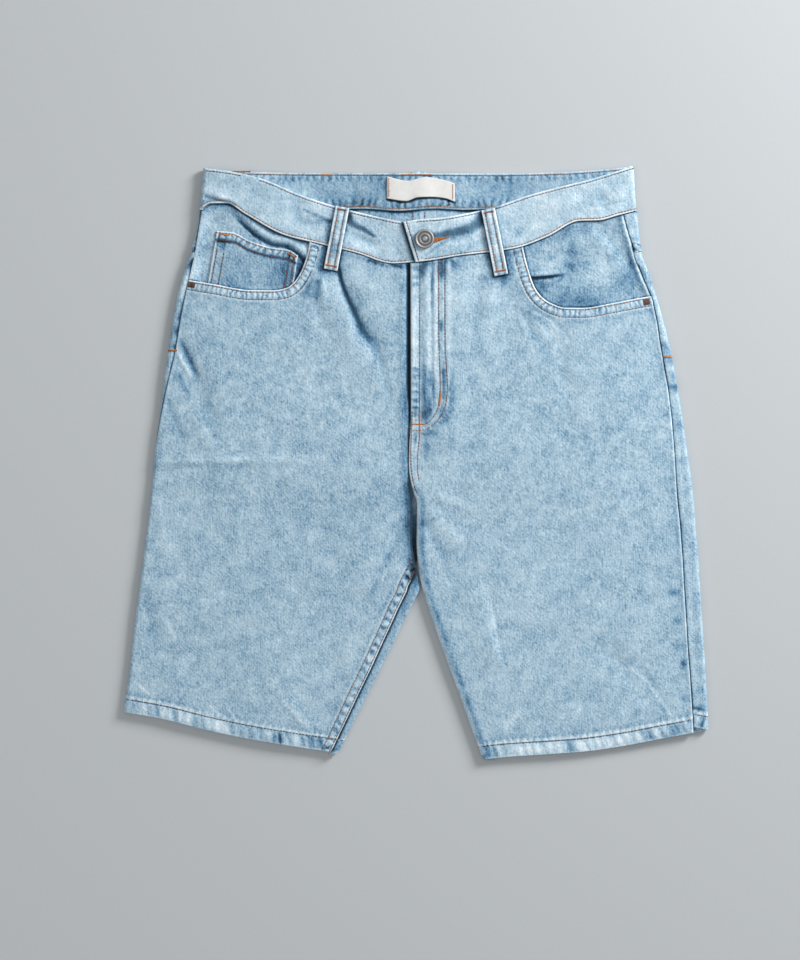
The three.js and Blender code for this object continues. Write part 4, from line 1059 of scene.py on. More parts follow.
# Wash patches of the left front, and painted shadow round the foot of the belt loop: place, size, amount.
LEFT_WASH_AND_SHADE = [
    (66, 178, 5, 5, -0.5), (84, 176, 5, 7, -0.55), (94, 199, 6, 6, -0.4), (116, 146, 10, 7, -0.3),
    (46, 160, 22, 34, 0.1), (78, 130, 14, 26, 0.08), (58, 110, 10, 26, -0.08),
    (135, 120, 5, 18, 0.22), (150, 40, 34, 60, -0.05), (120, -120, 60, 80, 0.04),
    (250, -60, 14, 90, -0.05), (247.7, -124, 6, 3.4, -0.5), (250.6, -151.5, 4, 3, -0.6),
    (256.8, -192.7, 3.2, 4.4, -0.9), (257.3, -225.8, 4, 3.4, -0.5), (249, -176, 5, 4, -0.3),
    (236, 140, 3, 10, -0.35),
]
LEFT_FOLDS = [
    (112, 142, 134, 108, 3.2, 0.26), (122, 146, 146, 122, 2.4, -0.25),
    (98, 150, 116, 118, 3.4, -0.28), (62, 176, 56, 128, 5, -0.35), (76, 172, 66, 140, 3, 0.3),
    (46, 178, 44, 150, 4, 0.25), (12, -46, 44, -78, 5, 0.42), (8, -58, 30, -96, 4, -0.38),
    (16, -30, 58, -46, 4, 0.4), (60, -110, 76, -184, 2.6, 0.22), (70, -122, 84, -190, 3.4, -0.16),
    (230, -150, 196, -190, 5, 0.4), (216, -196, 236, -226, 4, -0.4), (238, 96, 216, 60, 6, -0.4),
    (244, 40, 222, 10, 6, 0.3), (150, 100, 162, 40, 7, 0.35),
]
front_left = cut_cloth(
    "front_left", layer=1, hem=True, low=fly_over, high=left_out, blend=True,
    low_steps=crowded(38.0, 1.25), high_steps=crowded(24.0, 1.4), pitch=2.3,
    middle=[44, 66, 90, 101, 102.7, 105.6, 110, 118, 130, 150, 176, 196], upper_rows=80,
    lower_rows=140, fine=[(99, 118.5, 0.75), (118, 131, 1.3), (66, 90, 1.3)],
    top=left_front_top, bottom=hem_left, seed=11,
    rise=lambda x, y: FLY_RISE * smooth((62 - x) / 34) * smooth((y - 6) / 26),
    folds=LEFT_FOLDS, extra=fly_ridges,
    seams=[
        seam(edge_line(mouth_left, 102.7, 232.0, 1.5), **MOUTH),
        seam(edge_line(band_low_left, -6.0, 100.0), **UNDER_BAND),
        seam(end_line(left_out["end"], 158.0, -256.0), **SIDE),
        seam(edge_line(hem_left, 52.0, 272.0), **HEM),
        seam(end_line(fly_over["end"], 194.0, -20.0), height=[(0.0, -0.5, 0.7), (1.4, 0.3, 1.2)],
             shade=[(0.5, 0.6, 0.9)]),
        seam(end_line(reader(FLY_OVER, 1), -30.0, -276.0), height=[(0.0, -0.2, 0.8)],
             shade=[(1.2, 0.55, 1.1), (5.6, -0.48, 3.0)], patchy=0.3),
        seam(CROTCH_EDGE, **NEEDLE),
        seam(FLY_EDGE, **NEEDLE), seam(J_INNER, **NEEDLE), seam(J_OUTER, **NEEDLE),
        seam(CROTCH_LEFT, **NEEDLE),
    ])
declare(front_left, "front_left", DENIM)

# %% Right front
fly_under = turned(1, reader(FLY_UNDER, 1), reader(FLY_UNDER, 2))
right_out = turned(-1, right_edge, lambda y: -right_seam(y) - HALF_GAP)


def right_front_top(x):
    """Top of the right front: the pocket mouth, then the band's lower edge."""
    return np.where(x < MOUTH_RIGHT[-1][0], mouth_right(x), band_low_right(x)) - SEAM_GAP


def fly_gap(s, y):
    """The deep gap beside the lap with its painted shadow and the roll of cloth along it, the painted shadow
    at the crotch and in the trough below the loop, and the loop's painted shadow.
    """
    run = smooth((y - 30.0) / 16.0)
    gap = smooth((s + 9.8 - 1.6 * smooth((80.0 - y) / 30.0)) / 2.6) * run
    roll = bell(s, -13.6, 2.6) * run
    soft = smooth((s + 26.0) / 14.0) * run
    # Painted shadow in the gap, a faint painted highlight on the roll, and painted shade spreading out from
    # the gap.
    fade = -2.2 * gap + 0.05 * roll - 0.12 * soft * (1 - gap)
    # Painted shadow at the crotch, where the right front runs down under the left one.
    inner = fly_under["end"](y) - s
    crotch_roll_shadow = smooth((-12.0 - y) / 18.0) * smooth((y + 118.0) / 12.0)
    fade = fade - crotch_roll_shadow * (2.0 * smooth((2.6 - inner) / 2.4) + 0.66 * smooth((9.0 - inner) / 8.0))
    # Painted shadow of the gap, narrower, down towards the crotch.
    narrow = smooth((44.0 - y) / 16.0) * smooth((y + 30.0) / 14.0)
    fade = fade - 1.2 * narrow * smooth((s + 8.4) / 1.8)
    off, along, side = nearest(s, y, TROUGH)
    t = along / TROUGH_RUN
    wide = 1.6 + 4.6 * t
    size = smooth((0.98 - t) / 0.42) * smooth((t + 0.02) / 0.05)
    above = off * side
    valley = size * bell(off, 0, wide)
    bank = size * bell(above, -2.2 * wide, 1.6 * wide)
    far = size * bell(above, 2.4 * wide, 2.2 * wide)
    # Painted shade in the trough's valley, a faint painted highlight on its bank and a little painted shade
    # beyond it.
    fade = fade - valley * (1.45 - 0.70 * t) + 0.08 * bank - 0.12 * far
    # The front's wash patches with painted shade, its crease lines, and the belt loop's painted shadow.
    loop_shadow = loop_painted_shadow(s, y)
    fade = fade + blotches(s, y, RIGHT_WASH_AND_SHADE) + creases(s, y, RIGHT_CREASE_WEAR_AND_SHADING) - 1.9 * loop_shadow
    return -2.1 * gap + 0.45 * roll - 0.8 * valley + 0.35 * bank - 0.3 * loop_shadow, fade


TROUGH = through([
    (-74.4, 188), (-72, 176), (-67.2, 162.2), (-60.2, 146.9), (-51.2, 127.7), (-40.4, 113),
    (-33, 101), (-26.9, 91),
])
TROUGH_RUN = 110.0
# Thin pale and dark lines along small folds: pale rubbed crease lines, and painted highlight and shade on
# the folds' sides; from, to, half-width, amount.
RIGHT_CREASE_WEAR_AND_SHADING = [
    (-46, 195.2, -30, 189.8, 1.5, -0.7), (-25, 190.6, -13, 188.2, 1.4, -0.7),
    (-101.8, -256.3, -126.7, -229.4, 1, 0.55), (-97, -254, -119, -226, 1.8, -0.2),
    (-186, -243, -199.7, -233, 1.2, 0.5), (-172.8, -246.7, -181, -235, 1.2, 0.5),
    (-251.5, -225.6, -266, -214, 1.2, 0.5), (-92.6, 178, -95.6, 154, 2.6, -0.5),
    (-88.6, 176, -84.6, 158, 1.4, 0.4), (-98, 190, -94, 176, 1.2, 0.5),
    (-254, 3, -150, 4.4, 1.1, 0.16), (-140, 5, -70, -4, 1, 0.1), (-226, 117, -209, 82, 2.6, -0.46),
    (-230, 86, -218, 64, 2.8, -0.34), (-236, 58, -222, 24, 3.4, -0.18),
    (-229, 107, -217, 84, 1.7, 0.36), (-240, -150, -232, -168, 1.3, 0.3),
    (-30, -96, -46, -130, 2.4, -0.35),
]
# Wash patches of the right front, and painted shade along the fly gap and at the crotch: place, size,
# amount.
RIGHT_WASH_AND_SHADE = [
    (-38, 196, 12, 3, -0.3), (-18, 190, 8, 3, -0.3), (-11, 100, 5, 90, -0.22),
    (-10, 10, 5, 40, -0.2), (-9.5, 62, 3.4, 26, -0.35), (-3, -102, 6, 9, -0.5),
    (-10, -56, 5, 34, -0.3), (-92, 184, 6, 12, -0.35), (-104, 168, 7, 8, -0.45),
    (-110, 152, 10, 7, -0.22), (-60, 178, 12, 10, 0.2), (-44, 150, 14, 26, 0.08),
    (-150, 130, 50, 30, -0.04), (-110, 90, 40, 30, 0.06), (-200, 60, 14, 30, -0.12),
    (-40, 60, 20, 30, 0.06), (-90, -60, 60, 60, -0.05), (-160, 3, 60, 3, 0.05),
    (-20, -40, 20, 30, -0.12), (-240, -120, 24, 90, 0.03),
]
RIGHT_FOLDS = [
    (-110, 150, -96, 128, 3, 0.22), (-120, 146, -104, 118, 3.4, -0.2),
    (-98, 158, -84, 120, 3.6, -0.2), (-92, 180, -88, 150, 2.6, 0.35), (-50, 182, -34, 150, 6, 0.25),
    (-36, 104, -24, 60, 4, -0.45), (-226, 117, -209, 80, 2.8, -0.6),
    (-230, 107, -216, 82, 2.4, 0.45), (-240, 60, -224, 22, 4, -0.4), (-214, 44, -196, 12, 5, 0.35),
    (-12, -44, -40, -70, 4, 0.5), (-10, -58, -30, -96, 4, -0.5), (-14, -100, -52, -120, 5, 0.4),
    (-30, -150, -70, -190, 7, 0.35), (-122, -232, -108, -252, 2.2, 0.2),
    (-116, -226, -98, -250, 2.6, -0.16), (-250, -40, -236, -90, 5, 0.3),
    (-262, -120, -250, -170, 5, -0.3), (-250, 1, -120, 3, 2.6, 0.18), (-244, -4, -150, -3, 3, -0.2),
    (-70, -8, -20, -9, 3, 0.2),
]
front_right = cut_cloth(
    "front_right", layer=1, hem=True, low=right_out, high=fly_under, blend=True,
    low_steps=crowded(24.0, 1.4), high_steps=crowded(30.0, 1.25), pitch=2.3,
    middle=[-194, -176, -150, -130, -118, -110, -105.6, -102, -100.5, -92, -78, -62, -46, -34],
    fine=[(-119, -99, 0.75), (-131, -118, 1.3), (-92, -34, 1.2)], upper_rows=76, lower_rows=138,
    top=right_front_top, bottom=hem_right, seed=23,
    folds=RIGHT_FOLDS, extra=fly_gap,
    seams=[
        seam(edge_line(mouth_right, -232.0, -102.0, 1.5), **MOUTH),
        seam(edge_line(band_low_right, -100.0, 0.0), **UNDER_BAND),
        seam(end_line(right_out["end"], 178.0, -240.0), **SIDE),
        seam(edge_line(hem_right, -284.0, -66.0), **HEM),
        seam(end_line(fly_under["end"], -106.0, -276.0), **FELLED),
        # Painted shade along the right front's inner end, where it runs under the left front.
        seam(end_line(fly_under["end"], 30.0, -96.0), height=[(0.0, -0.5, 0.8), (4.0, 0.2, 2.0)],
             shade=[(0.2, -0.35, 1.2), (4.0, -0.10, 3.0)]),
    ])
declare(front_right, "front_right", DENIM)

# %% [markdown]
# ## The backs and the yokes
# The backs lie underneath. What shows of them is the strip that comes round each side, so
# the fine columns are there, and the rest is cut coarser.

# %% Backs
def back_inner(side, parts, leg):
    """A back's inner end: flat to the crotch, then the seam that its front gives."""
    fold, past = reader(parts, 1), reader(parts, 2)
    leg_fold, leg_past = reader(leg, 1), reader(leg, 2)
    return turned(side, lambda y: np.where(y > ROUND_LEG, fold(y), leg_fold(y)),
                  lambda y: np.where(y > ROUND_LEG, past(y), -leg_past(y) - SEAM_GAP))


back_left_in, back_right_in = (back_inner(-1, BACK_LEFT_PARTS, FLY_OVER),
                               back_inner(1, BACK_RIGHT_PARTS, FLY_UNDER))
back_left_out = turned(1, left_edge, lambda y: left_seam(y) - HALF_GAP)
back_right_out = turned(-1, right_edge, lambda y: right_seam(y) - HALF_GAP)
# Painted shadow on the backs at the crotch, seen between the legs where the fronts roll down over them.
CROTCH_SHADOW = (0.0, -82.0, 14.0, 38.0, -1.2)
SIDE_PATCHES_LEFT = [
    (249.6, 109, 4.5, 4, -0.9), (250, 96.5, 5, 2.5, -0.8), (253.1, 83.5, 5, 3.5, -0.6),
    (255.3, 72, 6, 3, -0.9), (263.8, 37.4, 6, 5, -0.5), (229.4, 174.5, 4, 5, -0.6),
    (231, 186, 3, 8, -0.4), (291, -235.6, 8, 2.8, -0.8), (288, -130, 12, 110, -0.12),
    (284, -60, 3, 22, -0.3), (293, -170, 3, 30, 0.2), CROTCH_SHADOW,
]
SIDE_PATCHES_RIGHT = [
    (-243, 142, 4, 7, -1), (-243.6, 126, 4, 6, -0.9), (-244, 113, 4, 2.5, -1.1),
    (-233, 172, 4, 9, 0.6), (-238, 156, 4, 4, -0.5), (-226.5, 192, 3, 6, -1.2), CROTCH_SHADOW,
]
coarse = {"pitch": 5.0, "upper_rows": 16, "lower_rows": 90, "wavy": 0.6}
back_left = cut_cloth(
    "back_left", layer=-1, hem=True, low=back_left_in, high=back_left_out, seed=31,
    middle=[0] * 6, high_steps=crowded(36.0, 1.3), low_steps=crowded(24.0, 1.6), **coarse,
    top=lambda x: yoke_seam(x) - HALF_GAP, bottom=hem_left, guess_top=180.0,
    extra=patched(SIDE_PATCHES_LEFT),
    seams=[
        seam(end_line(back_left_out["end"], 190.0, -256.0), **SIDE_BACK),
        seam(edge_line(hem_left, 52.0, 300.0), **HEM),
        seam(end_line(back_left_in["end"], -106.0, -282.0), **FELLED),
    ])
back_right = cut_cloth(
    "back_right", layer=-1, hem=True, low=back_right_out, high=back_right_in, seed=37,
    middle=[0] * 6, low_steps=crowded(26.0, 1.3), high_steps=crowded(24.0, 1.4), **coarse,
    top=lambda x: yoke_seam(x) - HALF_GAP, bottom=hem_right, guess_top=180.0,
    extra=patched(SIDE_PATCHES_RIGHT),
    seams=[
        seam(end_line(back_right_out["end"], 196.0, -240.0), **SIDE_BACK),
        seam(edge_line(hem_right, -300.0, -66.0), **HEM),
        # Painted shade along the inner end, where this strip meets the front's inseam by the crotch.
        seam(end_line(back_right_in["end"], -104.0, -276.0), height=[(0.0, -0.5, 0.9)],
             shade=[(0.4, -1.2, 1.3), (4.6, -0.16, 3.4)]),
    ])
declare(back_left, "back_left", DENIM)
declare(back_right, "back_right", DENIM)

# %% Yokes
def yoke_top_left(x):
    """Top of the left yoke: past the side it meets the sloping front of the band."""
    last = BAND_BACK[-1][2]
    return band_low_back(np.minimum(x, last)) - SEAM_GAP - 0.26 * np.maximum(0, x - last)


# The dark line under the back of the band is painted shadow of the band's edge.
UNDER_BACK = {**UNDER_BAND, "shade": [(0.6, -1.4, 1.5), (5.0, -0.06, 3.0)]}
yoke_facts = {
    "layer": -1, "pitch": 3.0, "upper_rows": 12, "lower_rows": 0, "guess_top": 240.0,
    "guess_low": 190.0, "middle": [0] * 6, "bottom": lambda x: yoke_seam(x) + HALF_GAP,
    "wavy": 0.7,
}
# Patches of the left yoke; the long flat one just under the band is painted shadow of the band's edge.
YOKE_PATCHES_LEFT = [
    (206, 226, 4, 10, -0.3), (226, 206, 6, 4, -0.7), (60, 240, 30, 4, -0.3), (22, 236, 26, 8, 0.3),
]
yoke_left = cut_cloth(
    "yoke_left", low=back_left_in, high=back_left_out, top=yoke_top_left, seed=41,
    high_steps=crowded(32.0, 1.3), **yoke_facts,
    extra=patched(YOKE_PATCHES_LEFT),
    seams=[seam(end_line(back_left_out["end"], 241.0, 200.0), **SIDE_BACK),
           seam(edge_line(lambda x: yoke_seam(x) + 0.2, 4.0, 226.0), **FELLED),
           seam(edge_line(band_low_back, 2.0, 214.0), **UNDER_BACK)])
yoke_right = cut_cloth(
    "yoke_right", low=back_right_out, high=back_right_in, top=lambda x: band_low_back(x) - SEAM_GAP,
    seed=43, low_steps=crowded(24.0, 1.3), **yoke_facts,
    # A long flat patch of painted shadow just under the band's edge.
    extra=patched([(-30.0, 240.0, 60.0, 4.0, -0.3)]),
    seams=[seam(end_line(back_right_out["end"], 243.0, 204.0), **SIDE_BACK),
           seam(edge_line(lambda x: yoke_seam(x) + 0.2, -218.0, 2.0), **FELLED),
           seam(edge_line(band_low_back, -206.0, 4.0), **UNDER_BACK)])
declare(yoke_left, "yoke_left", DENIM)
declare(yoke_right, "yoke_right", DENIM)

# %% [markdown]
# ## Pocket facings and the coin pocket
# Inside each pocket mouth lies a facing of the same denim, bluer because it is rubbed less.
# On the wearer's right the facing bulges out over the coin pocket in one long fold, drawn
# here as a ridge with a sharp lower side, with painted shadow below it and a painted highlight
# on its round top.

# %% Facings
DIP_RUN = 10.0


def facing_facts(side, fold, side_seam, mouth, edge, band, dip_at, inward):
    """The pattern of a facing: flush at the side seam, then dipping under the front."""
    outer = turned(side, fold, lambda y: -side_seam(y) - HALF_GAP - 0.25)
    inner = plain(-side, lambda y: inward + 0.0 * y)
    edge_at = reader(edge)

    def from_seam(s, y):
        return side * (outer["end"](y) - s)

    def bottom(x):
        at_mouth = mouth(x)
        return np.where(from_seam(x, at_mouth) < DIP_RUN + 1, at_mouth + SEAM_GAP,
                        np.minimum(at_mouth - 2, edge_at(x)))

    return {
        "layer": 1, "thick": LIGHT_CLOTH, "low": inner if side > 0 else outer,
        "high": outer if side > 0 else inner, "bottom": bottom, "guess_top": 225.0,
        "guess_low": 160.0, "lower_rows": 0, "upper_rows": 44, "pitch": 1.5, "middle": [0] * 6,
        "top": lambda x: np.minimum(band(x), band(x + side * BAND_FOLD_OUTER)) - 0.8,
        "dip": lambda s, y: dip_at(y) * smooth(from_seam(s, y) / DIP_RUN),
    }


COIN_FOLD = through([
    (-185, 246), (-176.6, 238.6), (-165.5, 227.5), (-152.6, 216.6), (-138.9, 209.3), (-125.1, 207),
    (-113.3, 199.1), (-108, 193),
])


def overhang(s, y):
    """The long fold over the coin pocket: sharp below with painted shadow, round above with a painted
    highlight, and patches of painted light and shade round it.
    """
    off, along, side = nearest(s, y, COIN_FOLD)
    above = off * side
    size = smooth(along / 34.0)
    ridge = np.where(above > 0, bell(above, 6.5, 4.2), 0.0)
    valley = bell(above, 1.2, 1.7)
    height = size * (1.8 * ridge - 0.7 * valley)
    fade = size * (0.30 * bell(above, 8.0, 3.0)
                   - 1.15 * np.where(above > 0, bell(above, 0, 3.1), bell(above, 0, 0.9)))
    patches = [(-197.0, 228.0, 8.0, 10.0, 0.25), (-150.0, 186.0, 22.0, 10.0, -0.30),
               (-212.0, 200.0, 6.0, 22.0, 0.15), (-112.0, 186.0, 4.0, 10.0, -0.9)]
    return height, fade + blotches(s, y, patches)


BAG_CREASE = through([(104.0, 176.6), (112.0, 177.6), (126.0, 178.6), (144.0, 181.5)])


def bag_creases(s, y):
    """The short sharp crease by the left pocket mouth and the soft hollows round it, with painted shade in
    the crease and hollows and painted highlights on the rises.
    """
    off, along, side = nearest(s, y, BAG_CREASE)
    thin = smooth((46.0 - along) / 26.0)
    above = off * side
    height = thin * (1.0 * bell(above, 3.0, 2.4) - 1.1 * bell(off, 0, 1.3))
    fade = thin * (0.24 * bell(above, 3.0, 2.4) - 2.0 * bell(off, 0, 1.4))
    patches = [(150.0, 196.0, 9.0, 18.0, -0.30), (124.0, 170.0, 14.0, 6.0, -0.22),
               (160.0, 160.0, 28.0, 8.0, -0.34), (196.0, 176.0, 10.0, 18.0, -0.16),
               (120.0, 190.0, 10.0, 7.0, 0.28), (184.0, 214.0, 16.0, 8.0, 0.12),
               (176.0, 186.0, 10.0, 14.0, 0.22), (150.0, 224.0, 14.0, 4.0, -0.20),
               (206.0, 190.0, 5.0, 26.0, -0.30)]
    height = height + creases(s, y, [(128, 206, 176, 214, 3.0, 0.35), (176, 232, 208, 186, 7.0, -0.7),
                                     (164, 228, 196, 190, 5.0, 0.6), (110, 172, 150, 166, 3.0, -0.45),
                                     (118, 164, 160, 170, 3.0, 0.35), (150, 214, 146, 170, 6.0, -0.5)])
    return height, fade + blotches(s, y, patches)


facing_left = cut_cloth(
    "pocket_facing_left", seed=51, extra=bag_creases,
    # The dark lines under the band and along the pocket mouth are painted shadow of the edges above them.
    seams=[seam(edge_line(band_low_left, 90.0, 212.0), height=[(0.0, -0.5, 0.8)],
                shade=[(0.0, -1.5, 1.2), (4.0, -0.12, 2.0)], patchy=0.3),
           seam(edge_line(mouth_left, 103.0, 168.0, 2.0), shade=[(0.0, -0.9, 1.5), (5.0, -0.26, 5.0)],
                patchy=0.3),
           seam(edge_line(mouth_left, 168.0, 226.0, 2.0), shade=[(0.0, -0.5, 1.2)]),
           seam(end_line(lambda y: left_edge(y) - left_seam(y), 236.0, 160.0),
                height=[(0.0, -0.3, 0.5), (2.0, 0.2, 1.0)], shade=[(0.6, 0.6, 0.8), (4.4, -0.28, 2.0)],
                patchy=0.4)],
    **facing_facts(1, left_edge, left_seam, mouth_left, FACING_LEFT_EDGE, band_low_left,
                   lambda y: FACING_DIP, FACING_LEFT_EDGE[0][0]))
facing_right = cut_cloth(
    "pocket_facing_right", seed=53, extra=overhang,
    # The dark lines under the band and along the pocket mouth are painted shadow of the edges above them.
    seams=[seam(edge_line(band_low_right, -208.0, -90.0), height=[(0.0, -0.5, 0.8)],
                shade=[(0.0, -1.7, 1.8), (4.0, -0.15, 2.0)], patchy=0.3),
           seam(edge_line(mouth_right, -216.0, -104.0, 2.0), shade=[(0.0, -0.7, 1.6)], patchy=0.3),
           seam(end_line(lambda y: right_edge(y) + right_seam(y), 240.0, 176.0),
                height=[(0.0, -0.5, 0.7), (1.6, 0.3, 1.0)], shade=[(0.6, 0.6, 1.1)])],
    **facing_facts(-1, right_edge, right_seam, mouth_right, FACING_RIGHT_EDGE, band_low_right,
                   lambda y: COIN_DIP + (FACING_DIP - COIN_DIP) * smooth((y - 228) / 13),
                   FACING_RIGHT_EDGE[-1][0]))
declare(facing_left, "pocket_facing_left", DENIM_DEEP)
declare(facing_right, "pocket_facing_right", DENIM_DEEP)

# %% Coin pocket
coin_top = reader([
    (-201, 223.5), (-176, 221.5), (-160, 213.5), (-140, 207.2), (-122, 204.6), (-113, 198.8),
])


def coin_left(y):
    """Left edge of the coin pocket."""
    return -199.5 + 8.3 * (y - 175) / 48


def coin_right(y):
    """Right edge of the coin pocket."""
    return -118.0 + 4.4 * (y - 170) / 29


COIN_EDGE = {
    "height": [(0, -0.3, 0.5), (1.6, -0.15, 0.4), (3.6, 0.22, 1.6), (7.4, -0.28, 0.5)],
    "shade": [(0.4, 0.75, 0.7), (7.4, -0.55, 0.6), (3.8, 0.1, 1.6)],
}
COIN_PATCHES = [
    (-126, 182, 10, 14, -0.55), (-150, 192, 14, 9, -0.25), (-176, 186, 12, 12, -0.28),
    (-186, 210, 4, 6, -0.5), (-158, 206, 6, 3, 0.2), (-123, 200, 3, 3, -0.6),
]
coin_pocket = cut_cloth(
    "coin_pocket", layer=1, thick=LIGHT_CLOTH, low=plain(-1, coin_left), high=plain(1, coin_right),
    low_steps=crowded(12.0, 1.0), high_steps=crowded(12.0, 1.0), pitch=1.4, middle=[0] * 4,
    lower_rows=0, upper_rows=30, guess_top=215.0, guess_low=165.0, top=coin_top, seed=59,
    bottom=lambda x: mouth_right(x) - 8, dip=lambda s, y: FACING_DIP + 0.0 * s,
    extra=patched(COIN_PATCHES),
    seams=[seam(edge_line(coin_top, -199.0, -113.6), bars=(0.85, 3.8, 2.9, 6.0), patchy=0.4,
                **COIN_EDGE),
           seam(edge_line(lambda x: coin_top(x) - 9.6, -196.0, -116.0), height=[(0.0, -0.35, 0.9)],
                shade=[(0.0, -0.9, 1.1)], patchy=0.3),
           seam(end_line(coin_left, 222.0, 160.0),
                height=[(0.0, -0.3, 0.5), (3.0, -0.2, 0.5), (10.0, -0.25, 0.6)],
                shade=[(0.5, 0.8, 0.8), (3.0, -0.4, 0.5), (10.0, -0.35, 0.6), (11.2, 0.25, 0.7)]),
           # Painted shadow along the mouth of the front above.
           seam(edge_line(mouth_right, -200.0, -108.0, 2.0), shade=[(0.0, -0.7, 1.2), (5.0, -0.16, 4.0)]),
           seam(end_line(coin_right, 200.0, 158.0), height=[(3.0, -0.2, 0.5), (8.0, -0.25, 0.6)],
                shade=[(0.4, 0.8, 0.8), (3.0, -0.5, 0.6), (8.0, -0.5, 0.6)])])
declare(coin_pocket, "coin_pocket", DENIM_DEEP)

# %% [markdown]
# ## The waistband
# The band is one strip, two layers thick, that starts at the button, goes round the back
# and ends under the button. It is laid out as lines across it: flat on the front, turned
# over at each side, and inside out at the back, where its inner face shows.

# %% Band lines
BAND_SHARES = np.concatenate([crowded(9.0, 1.1), np.arange(10.2, 31.6, 1.5),
                              40.0 - crowded(8.0, 1.1)[::-1]]) / 40.0


def sections(rows, steps):
    """Sections of a half of the band, read between the rows of its table."""
    top, low = reader([(r[0], r[1]) for r in rows]), reader([(r[2], r[3]) for r in rows])
    at = np.linspace(0, len(rows) - 1, (len(rows) - 1) * steps + 1)
    top_x = np.interp(at, np.arange(len(rows)), [r[0] for r in rows])
    low_x = np.interp(at, np.arange(len(rows)), [r[2] for r in rows])
    return np.column_stack([top_x, top(top_x), low_x, low(low_x)])


def overlap_rise(x):
    """The band's left end laps over its right."""
    return BAND_RISE * smooth((78 - x) / 42)


def inside(rows):
    """Sections clear of the turns at the sides."""
    return rows[(rows[:, 0] < BAND_LEFT[0][0] - BAND_FOLD_OUTER)
                & (rows[:, 0] > BAND_RIGHT[0][0] + BAND_FOLD_OUTER)]


UP = math.pi / 2
TURN_LINES = 15
TURNS = np.linspace(0.92, -0.92, TURN_LINES) * UP
left_rows, right_rows = sections(BAND_LEFT, 16)[::-1], sections(BAND_RIGHT, 16)
back_rows = sections(BAND_BACK, 34)[::-1]
parts = [(inside(left_rows), UP, 0, "left"),
         (np.repeat(left_rows[-1:], TURN_LINES, axis=0), TURNS, 1, "left"),
         (inside(back_rows), -UP, 0, "back"),
         (np.repeat(right_rows[:1], TURN_LINES, axis=0), TURNS[::-1], -1, "right"),
         (inside(right_rows), UP, 0, "right")]
band_rows = np.vstack([rows for rows, _, _, _ in parts])
band_turn = np.concatenate([np.broadcast_to(turn, len(rows)) for rows, turn, _, _ in parts])
band_side = np.concatenate([np.full(len(rows), side) for rows, _, side, _ in parts])
band_half = np.concatenate([[half] * len(rows) for rows, _, _, half in parts])
band_half = np.where((band_side != 0) & (band_turn < 0), "back", band_half)
print("lines across the band:", len(band_rows))

# %% Seams and folds of the band
BAND_TOP = {
    "height": [(0, -0.25, 0.6), (1.1, 0.1, 0.6), (2.2, -0.22, 0.5), (4, 0.12, 1.2)],
    "shade": [(0.5, 0.5, 0.7), (2.2, -0.25, 0.5), (3.4, 0.15, 0.9)],
    "patchy": 0.4,
}
BAND_LOW = {
    "height": [(0, -0.15, 0.4), (0.9, 0.08, 0.5), (1.8, -0.2, 0.4), (3.4, 0.15, 1.2)],
    "shade": [(0.3, 0.9, 0.9), (1.8, -0.2, 0.4), (4, -0.1, 2)],
    "patchy": 0.3,
}
BAND_TOP_FOLDED = {"height": [(0.0, -0.25, 0.6), (2.2, -0.15, 0.5)], "shade": [(0.4, 0.15, 0.8)]}
FOLDED_UNTIL = -150.0
BACK_EDGE = {
    "height": [(0, -0.4, 0.6), (2, -0.22, 0.5), (5, 0.25, 2)],
    "shade": [(0.4, 0.4, 0.8), (2, -0.5, 0.6), (5, -0.15, 2.2)],
    "patchy": 0.5,
    "bars": (0.45, 5, 3.4, 7),
}


def band_edges(rows):
    """The upper and lower edge of a half of the band as lines."""
    return even(rows[:, :2], 1.5), even(rows[:, 2:], 1.5)


left_top, left_low = band_edges(left_rows)
right_top, right_low = band_edges(right_rows)
back_top, back_low = band_edges(back_rows)
front_end = even(np.array([left_rows[0, :2], left_rows[0, 2:]]), 1.5)
BAND_SEAMS = {
    "left": [seam(left_top, **BAND_TOP), seam(left_low, **BAND_LOW),
             seam(front_end, height=[(0.0, -0.25, 0.6), (3.0, -0.2, 0.5)],
                  shade=[(0.6, 0.7, 1.1), (3.0, -0.35, 0.5)])],
    "right": [seam(right_top[right_top[:, 0] > FOLDED_UNTIL], **BAND_TOP),
              seam(right_low, **BAND_LOW),
              seam(right_top[right_top[:, 0] < FOLDED_UNTIL + 3], **BAND_TOP_FOLDED),
              # Painted shadow beside the end of the band's left half, which laps over this one.
              seam(front_end, height=[(0.0, -0.7, 2.4)], shade=[(0.0, -2.0, 2.4)])],
    "back": [seam(back_top, **BACK_EDGE),
             seam(back_low, **{**BACK_EDGE, "bars": (0.5, 5.5, 4.5, 7.0)})],
}
BAND_FOLDS = {
    "left": [
        (66, 218, 34, 212, 4.5, -0.8), (60, 238, 30, 230, 4, 0.5), (120, 250, 150, 246, 5, 0.3),
        (150, 262, 190, 250, 5, -0.35), (176, 262, 184, 240, 4, -0.6), (168, 258, 176, 238, 3, 0.5),
        (92, 232, 118, 240, 4, -0.35), (22, 200, 30, 226, 3, -0.4), (196, 274, 206, 250, 4, -0.4),
    ],
    "right": [
        (-72, 224, -40, 210, 4, -0.9), (-82, 228, -120, 236, 4, -0.5), (-76, 214, -40, 202, 4, 0.5),
        (-120, 250, -150, 246, 6, 0.4), (-206, 257.3, -172, 247, 2.4, -0.7),
        (-206, 262, -174, 252, 3, 0.5), (-198, 272, -168, 262, 6, -0.3),
        (-160, 262, -140, 250, 5, -0.35), (-28, 222, -16, 200, 4, -0.5),
        (-100, 246, -84, 236, 4, 0.35),
    ],
    "back": [
        (-60, 268, -58, 248, 4, -0.5), (-100, 272, -112, 250, 5, 0.4), (90, 270, 88, 250, 4, -0.5),
        (60, 262, 40, 246, 5, 0.4),
    ],
}
